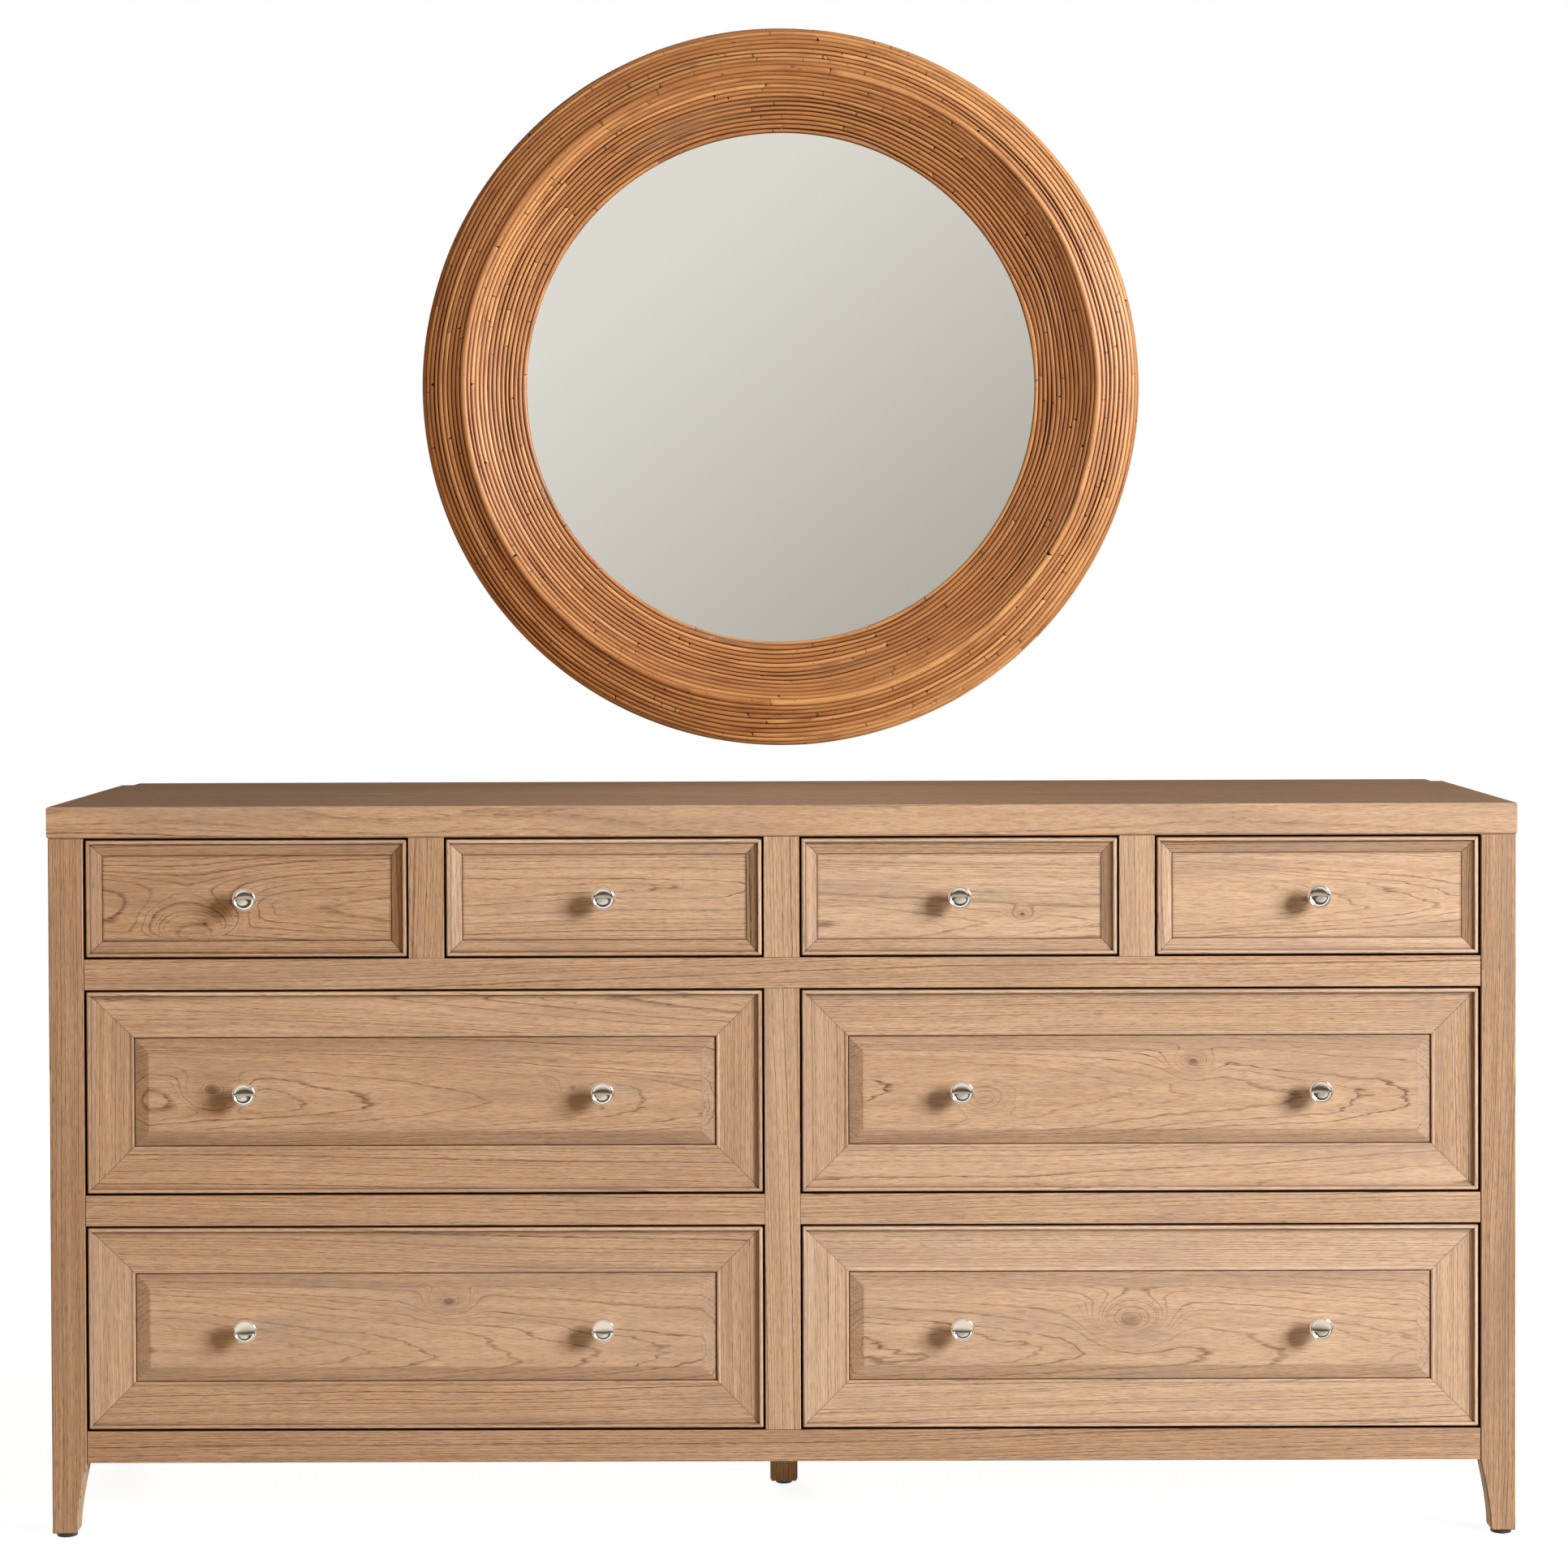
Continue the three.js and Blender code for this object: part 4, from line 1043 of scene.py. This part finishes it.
rattan = makeMaterial("lacqueredRattanReed", rattanSurface)
node = "mirror_reed_wrap"
centre = sum(corners(node)) / 2
wallY = corners("mirror_back_board")[1][1]
innerFrom = mirrorLook["crestReed"] + 1
for word, reeds in {"outer": (0, innerFrom), "inner": (innerFrom, mirrorLook["reeds"])}.items():
    shell, attributes = makeReeds(*reeds, *reedLine(), centre, wallY)
    makePiece("mirror_reeds_" + word, shell, rattan, standIn(node), 50, attributes)
    print("reeds", word, len(shell[1]), "faces")
dressNode("mirror_glass", makeMaterial("silveredFloatGlass", silveredSurface))

# Pan heads hold the dresser's back panel, and flush heads the mirror's back board
fastenerLook = {"backSpacing": 210, "backInset": 12, "boardScrews": 12, "boardInset": 14}


def spread(low, high, spacing):
    # even places from low to high, about a spacing apart
    return np.linspace(low, high, max(2, int(round((high - low) / (spacing * mm))) + 1))


low, high = corners("back_panel")
rim = fastenerLook["backInset"] * mm
across, up = (spread(low[i] + rim, high[i] - rim, fastenerLook["backSpacing"]) for i in (0, 2))
places = [(x, high[1], z) for x in across for z in (up[0], up[-1])]
places += [(x, high[1], z) for z in up[1:-1] for x in (across[0], 0.0, across[-1])]
spots = [(place, screwLook["backScale"]) for place in places]
makeScrews("back_panel_screws", spots, "carcass")
print("back panel screws:", len(spots))

low, high = corners("mirror_back_board")
centre, radius = (low + high) / 2, (high[0] - low[0]) / 2 - fastenerLook["boardInset"] * mm
turns = (np.arange(fastenerLook["boardScrews"]) + 0.5) * fullTurn / fastenerLook["boardScrews"]
spots = [((centre[0] + radius * np.cos(t), high[1], centre[2] + radius * np.sin(t)), 1.0) for t in turns]
makeScrews("back_board_screws", spots, "carcass", "flush")
print("back board screws:", len(spots))

# ---- floor, light and camera ----
# The photograph's white ground: the floor shows itself white to the camera and keeps a faint shadow.
floorLook = {
    # near, far and beyond are colours the floor glows with in reflections, a painted reflection
    "half": 7.0, "shade": 0.42, "near": "#f1e9de", "far": "#5e5144", "beyond": "#b9b3a8",
    # by the distance from the middle, in metres
    "glow": (1.3, 3.2, 0.91, 1.0), "farFrom": (1.0, 1.9, 0.0, 1.0), "beyondFrom": (2.9, 3.8, 0.0, 1.0),
}


def stageSurface(tree):
    rays = addNode(tree, "LightPath").node.outputs
    place = addNode(tree, "TexCoord", output="Object")
    distance = vectors(tree, "LENGTH", place, output=1)
    glowing = ranged(tree, distance, floorLook["glow"])
    seen = addNode(tree, "Emission", {"Color": (1, 1, 1, 1), "Strength": glowing})
    reach = ranged(tree, distance, floorLook["farFrom"])
    colour = blend(tree, reach, floorLook["near"], floorLook["far"])
    beyond = ranged(tree, distance, floorLook["beyondFrom"])
    colour = blend(tree, beyond, colour, floorLook["beyond"])
    # reflections see the floor glow in these colours, a painted reflection that no lamp lights and no shadow
    # marks
    paintedFloorReflection = addNode(tree, "Emission", {"Color": colour, "Strength": 1.0})
    none = addNode(tree, "Emission", {"Strength": 0.0})
    matt = addNode(tree, "BsdfDiffuse", {"Color": (floorLook["shade"],) * 3 + (1,)})
    glow = addNode(tree, "MixShader", {0: rays["Is Camera Ray"], 1: none, 2: seen})
    both = addNode(tree, "AddShader", {0: glow, 1: matt})
    return addNode(tree, "MixShader", {0: rays["Is Glossy Ray"], 1: both, 2: paintedFloorReflection})


half = floorLook["half"]
floorMesh = bpy.data.meshes.new("ground")
floorCorners = [(-half, -half, 0), (half, -half, 0), (half, half, 0), (-half, half, 0)]
floorMesh.from_pydata(floorCorners, [], [(0, 1, 2, 3)])
floorMesh.materials.append(makeMaterial("whiteGround", stageSurface))
ground = addObject("ground", floorMesh)

worldLook = {
    "upperLeft": "#e3e1dc", "lowerRight": "#bbb6ae", "room": "#54463a", "around": "#ffffff", "far": "#3a281b",
    # distances from straight in front, as a direction's unit vector, and how far each is squeezed across
    "window": (0.15, 0.2, 0.5), "roomEnd": (0.66, 0.86, 1), "paperEnd": (1.35, 1.55, 1),
    "front": (0, -1, 0.06), "lean": -0.8, "wall": (-0.03, 0.13, 0.0, 1.0),
    "tint": (1.0, 0.74, 0.47, 1), "ambient": (0.0, 0.7, 0.28, 0.0),  # over height
}
world = bpy.data.worlds.new("studio")
bpy.context.scene.world = world
tree = emptyTree(world)
# Reflections see a pale wall in front, a dark room round it, white paper beyond, and a dark far end.
way = addNode(tree, "TexCoord", output="Generated")
parts = addNode(tree, "SeparateXYZ", {0: way}).node.outputs
rays = addNode(tree, "LightPath").node.outputs
slant = maths(tree, "MULTIPLY_ADD", parts[0], worldLook["lean"], parts[2])
onWall = ranged(tree, slant, worldLook["wall"])
colour = blend(tree, onWall, worldLook["lowerRight"], worldLook["upperLeft"])
for key, edge in (("room", "window"), ("around", "roomEnd"), ("far", "paperEnd")):
    start, end, across = worldLook[edge]
    squeezed = vectors(tree, "MULTIPLY", way, (across, 1, 1))
    ahead = vectors(tree, "DISTANCE", squeezed, worldLook["front"], output=1)
    share = ranged(tree, ahead, (start, end, 0.0, 1.0))
    colour = blend(tree, share, colour, worldLook[key])
reflected = addNode(tree, "Background", {"Color": colour, "Strength": 1.0})
level = ranged(tree, parts[2], worldLook["ambient"])
ambient = addNode(tree, "Background", {"Color": worldLook["tint"], "Strength": level})
white = addNode(tree, "Background", {"Color": (1, 1, 1, 1), "Strength": 1.0})
shown = maths(tree, "MAXIMUM", rays["Is Camera Ray"], rays["Is Transmission Ray"])
mixed = addNode(tree, "MixShader", {0: rays["Is Glossy Ray"], 1: ambient, 2: reflected})
mixed = addNode(tree, "MixShader", {0: shown, 1: mixed, 2: white})
addNode(tree, "OutputWorld", {"Surface": mixed})

# A large soft lamp to the right, a weak warm one to the left and one behind: place, size, power, colour,
# and whether reflections show it
lamps = {
    "key": ((5.2, -3.6, 2.9), 2.1, 675, (0.94, 1.0, 1.15), True),
    "warm": ((-4.3, -2.6, 0.4), 1.8, 66, (1.0, 0.6, 0.2), False),
    "behind": ((-1.2, 4.0, 0.75), 1.4, 110, (1, 1, 1), False),
}
lampTarget = (0.0, -0.24, 0.9)
for name, (place, size, power, colour, glossy) in lamps.items():
    data = bpy.data.lights.new(name, "AREA")
    data.energy, data.size, data.color = power, size, colour
    holder = addObject(name, data)
    holder.location = place
    towards = Vector(lampTarget) - Vector(place)
    holder.rotation_euler = towards.to_track_quat("-Z", "Y").to_euler()
    holder.visible_glossy = glossy

# Camera fitted to corners of the dresser in the photograph. The last turn makes it look along +y.
cameraLook = {
    "place": (10.2, -4356.0, 1182.0), "turns": ((0.170, "Z"), (-1.010, "X"), (0.199, "Y"), (90, "X")),
    "lens": 76.034, "sensor": 36.0, "shift": (0.0032, -0.0871),
}
cameraData = bpy.data.cameras.new("view")
cameraData.lens, cameraData.sensor_width = cameraLook["lens"], cameraLook["sensor"]
cameraData.shift_x, cameraData.shift_y = cameraLook["shift"]
camera = addObject("view", cameraData)
turned = Matrix.Identity(3)
for angle, axis in cameraLook["turns"]:
    turned = turned @ Matrix.Rotation(math.radians(angle), 3, axis)
camera.matrix_world = Matrix.Translation([c * mm for c in cameraLook["place"]]) @ turned.to_4x4()
bpy.context.scene.camera = camera
bpy.context.scene.view_settings.view_transform = "Standard"
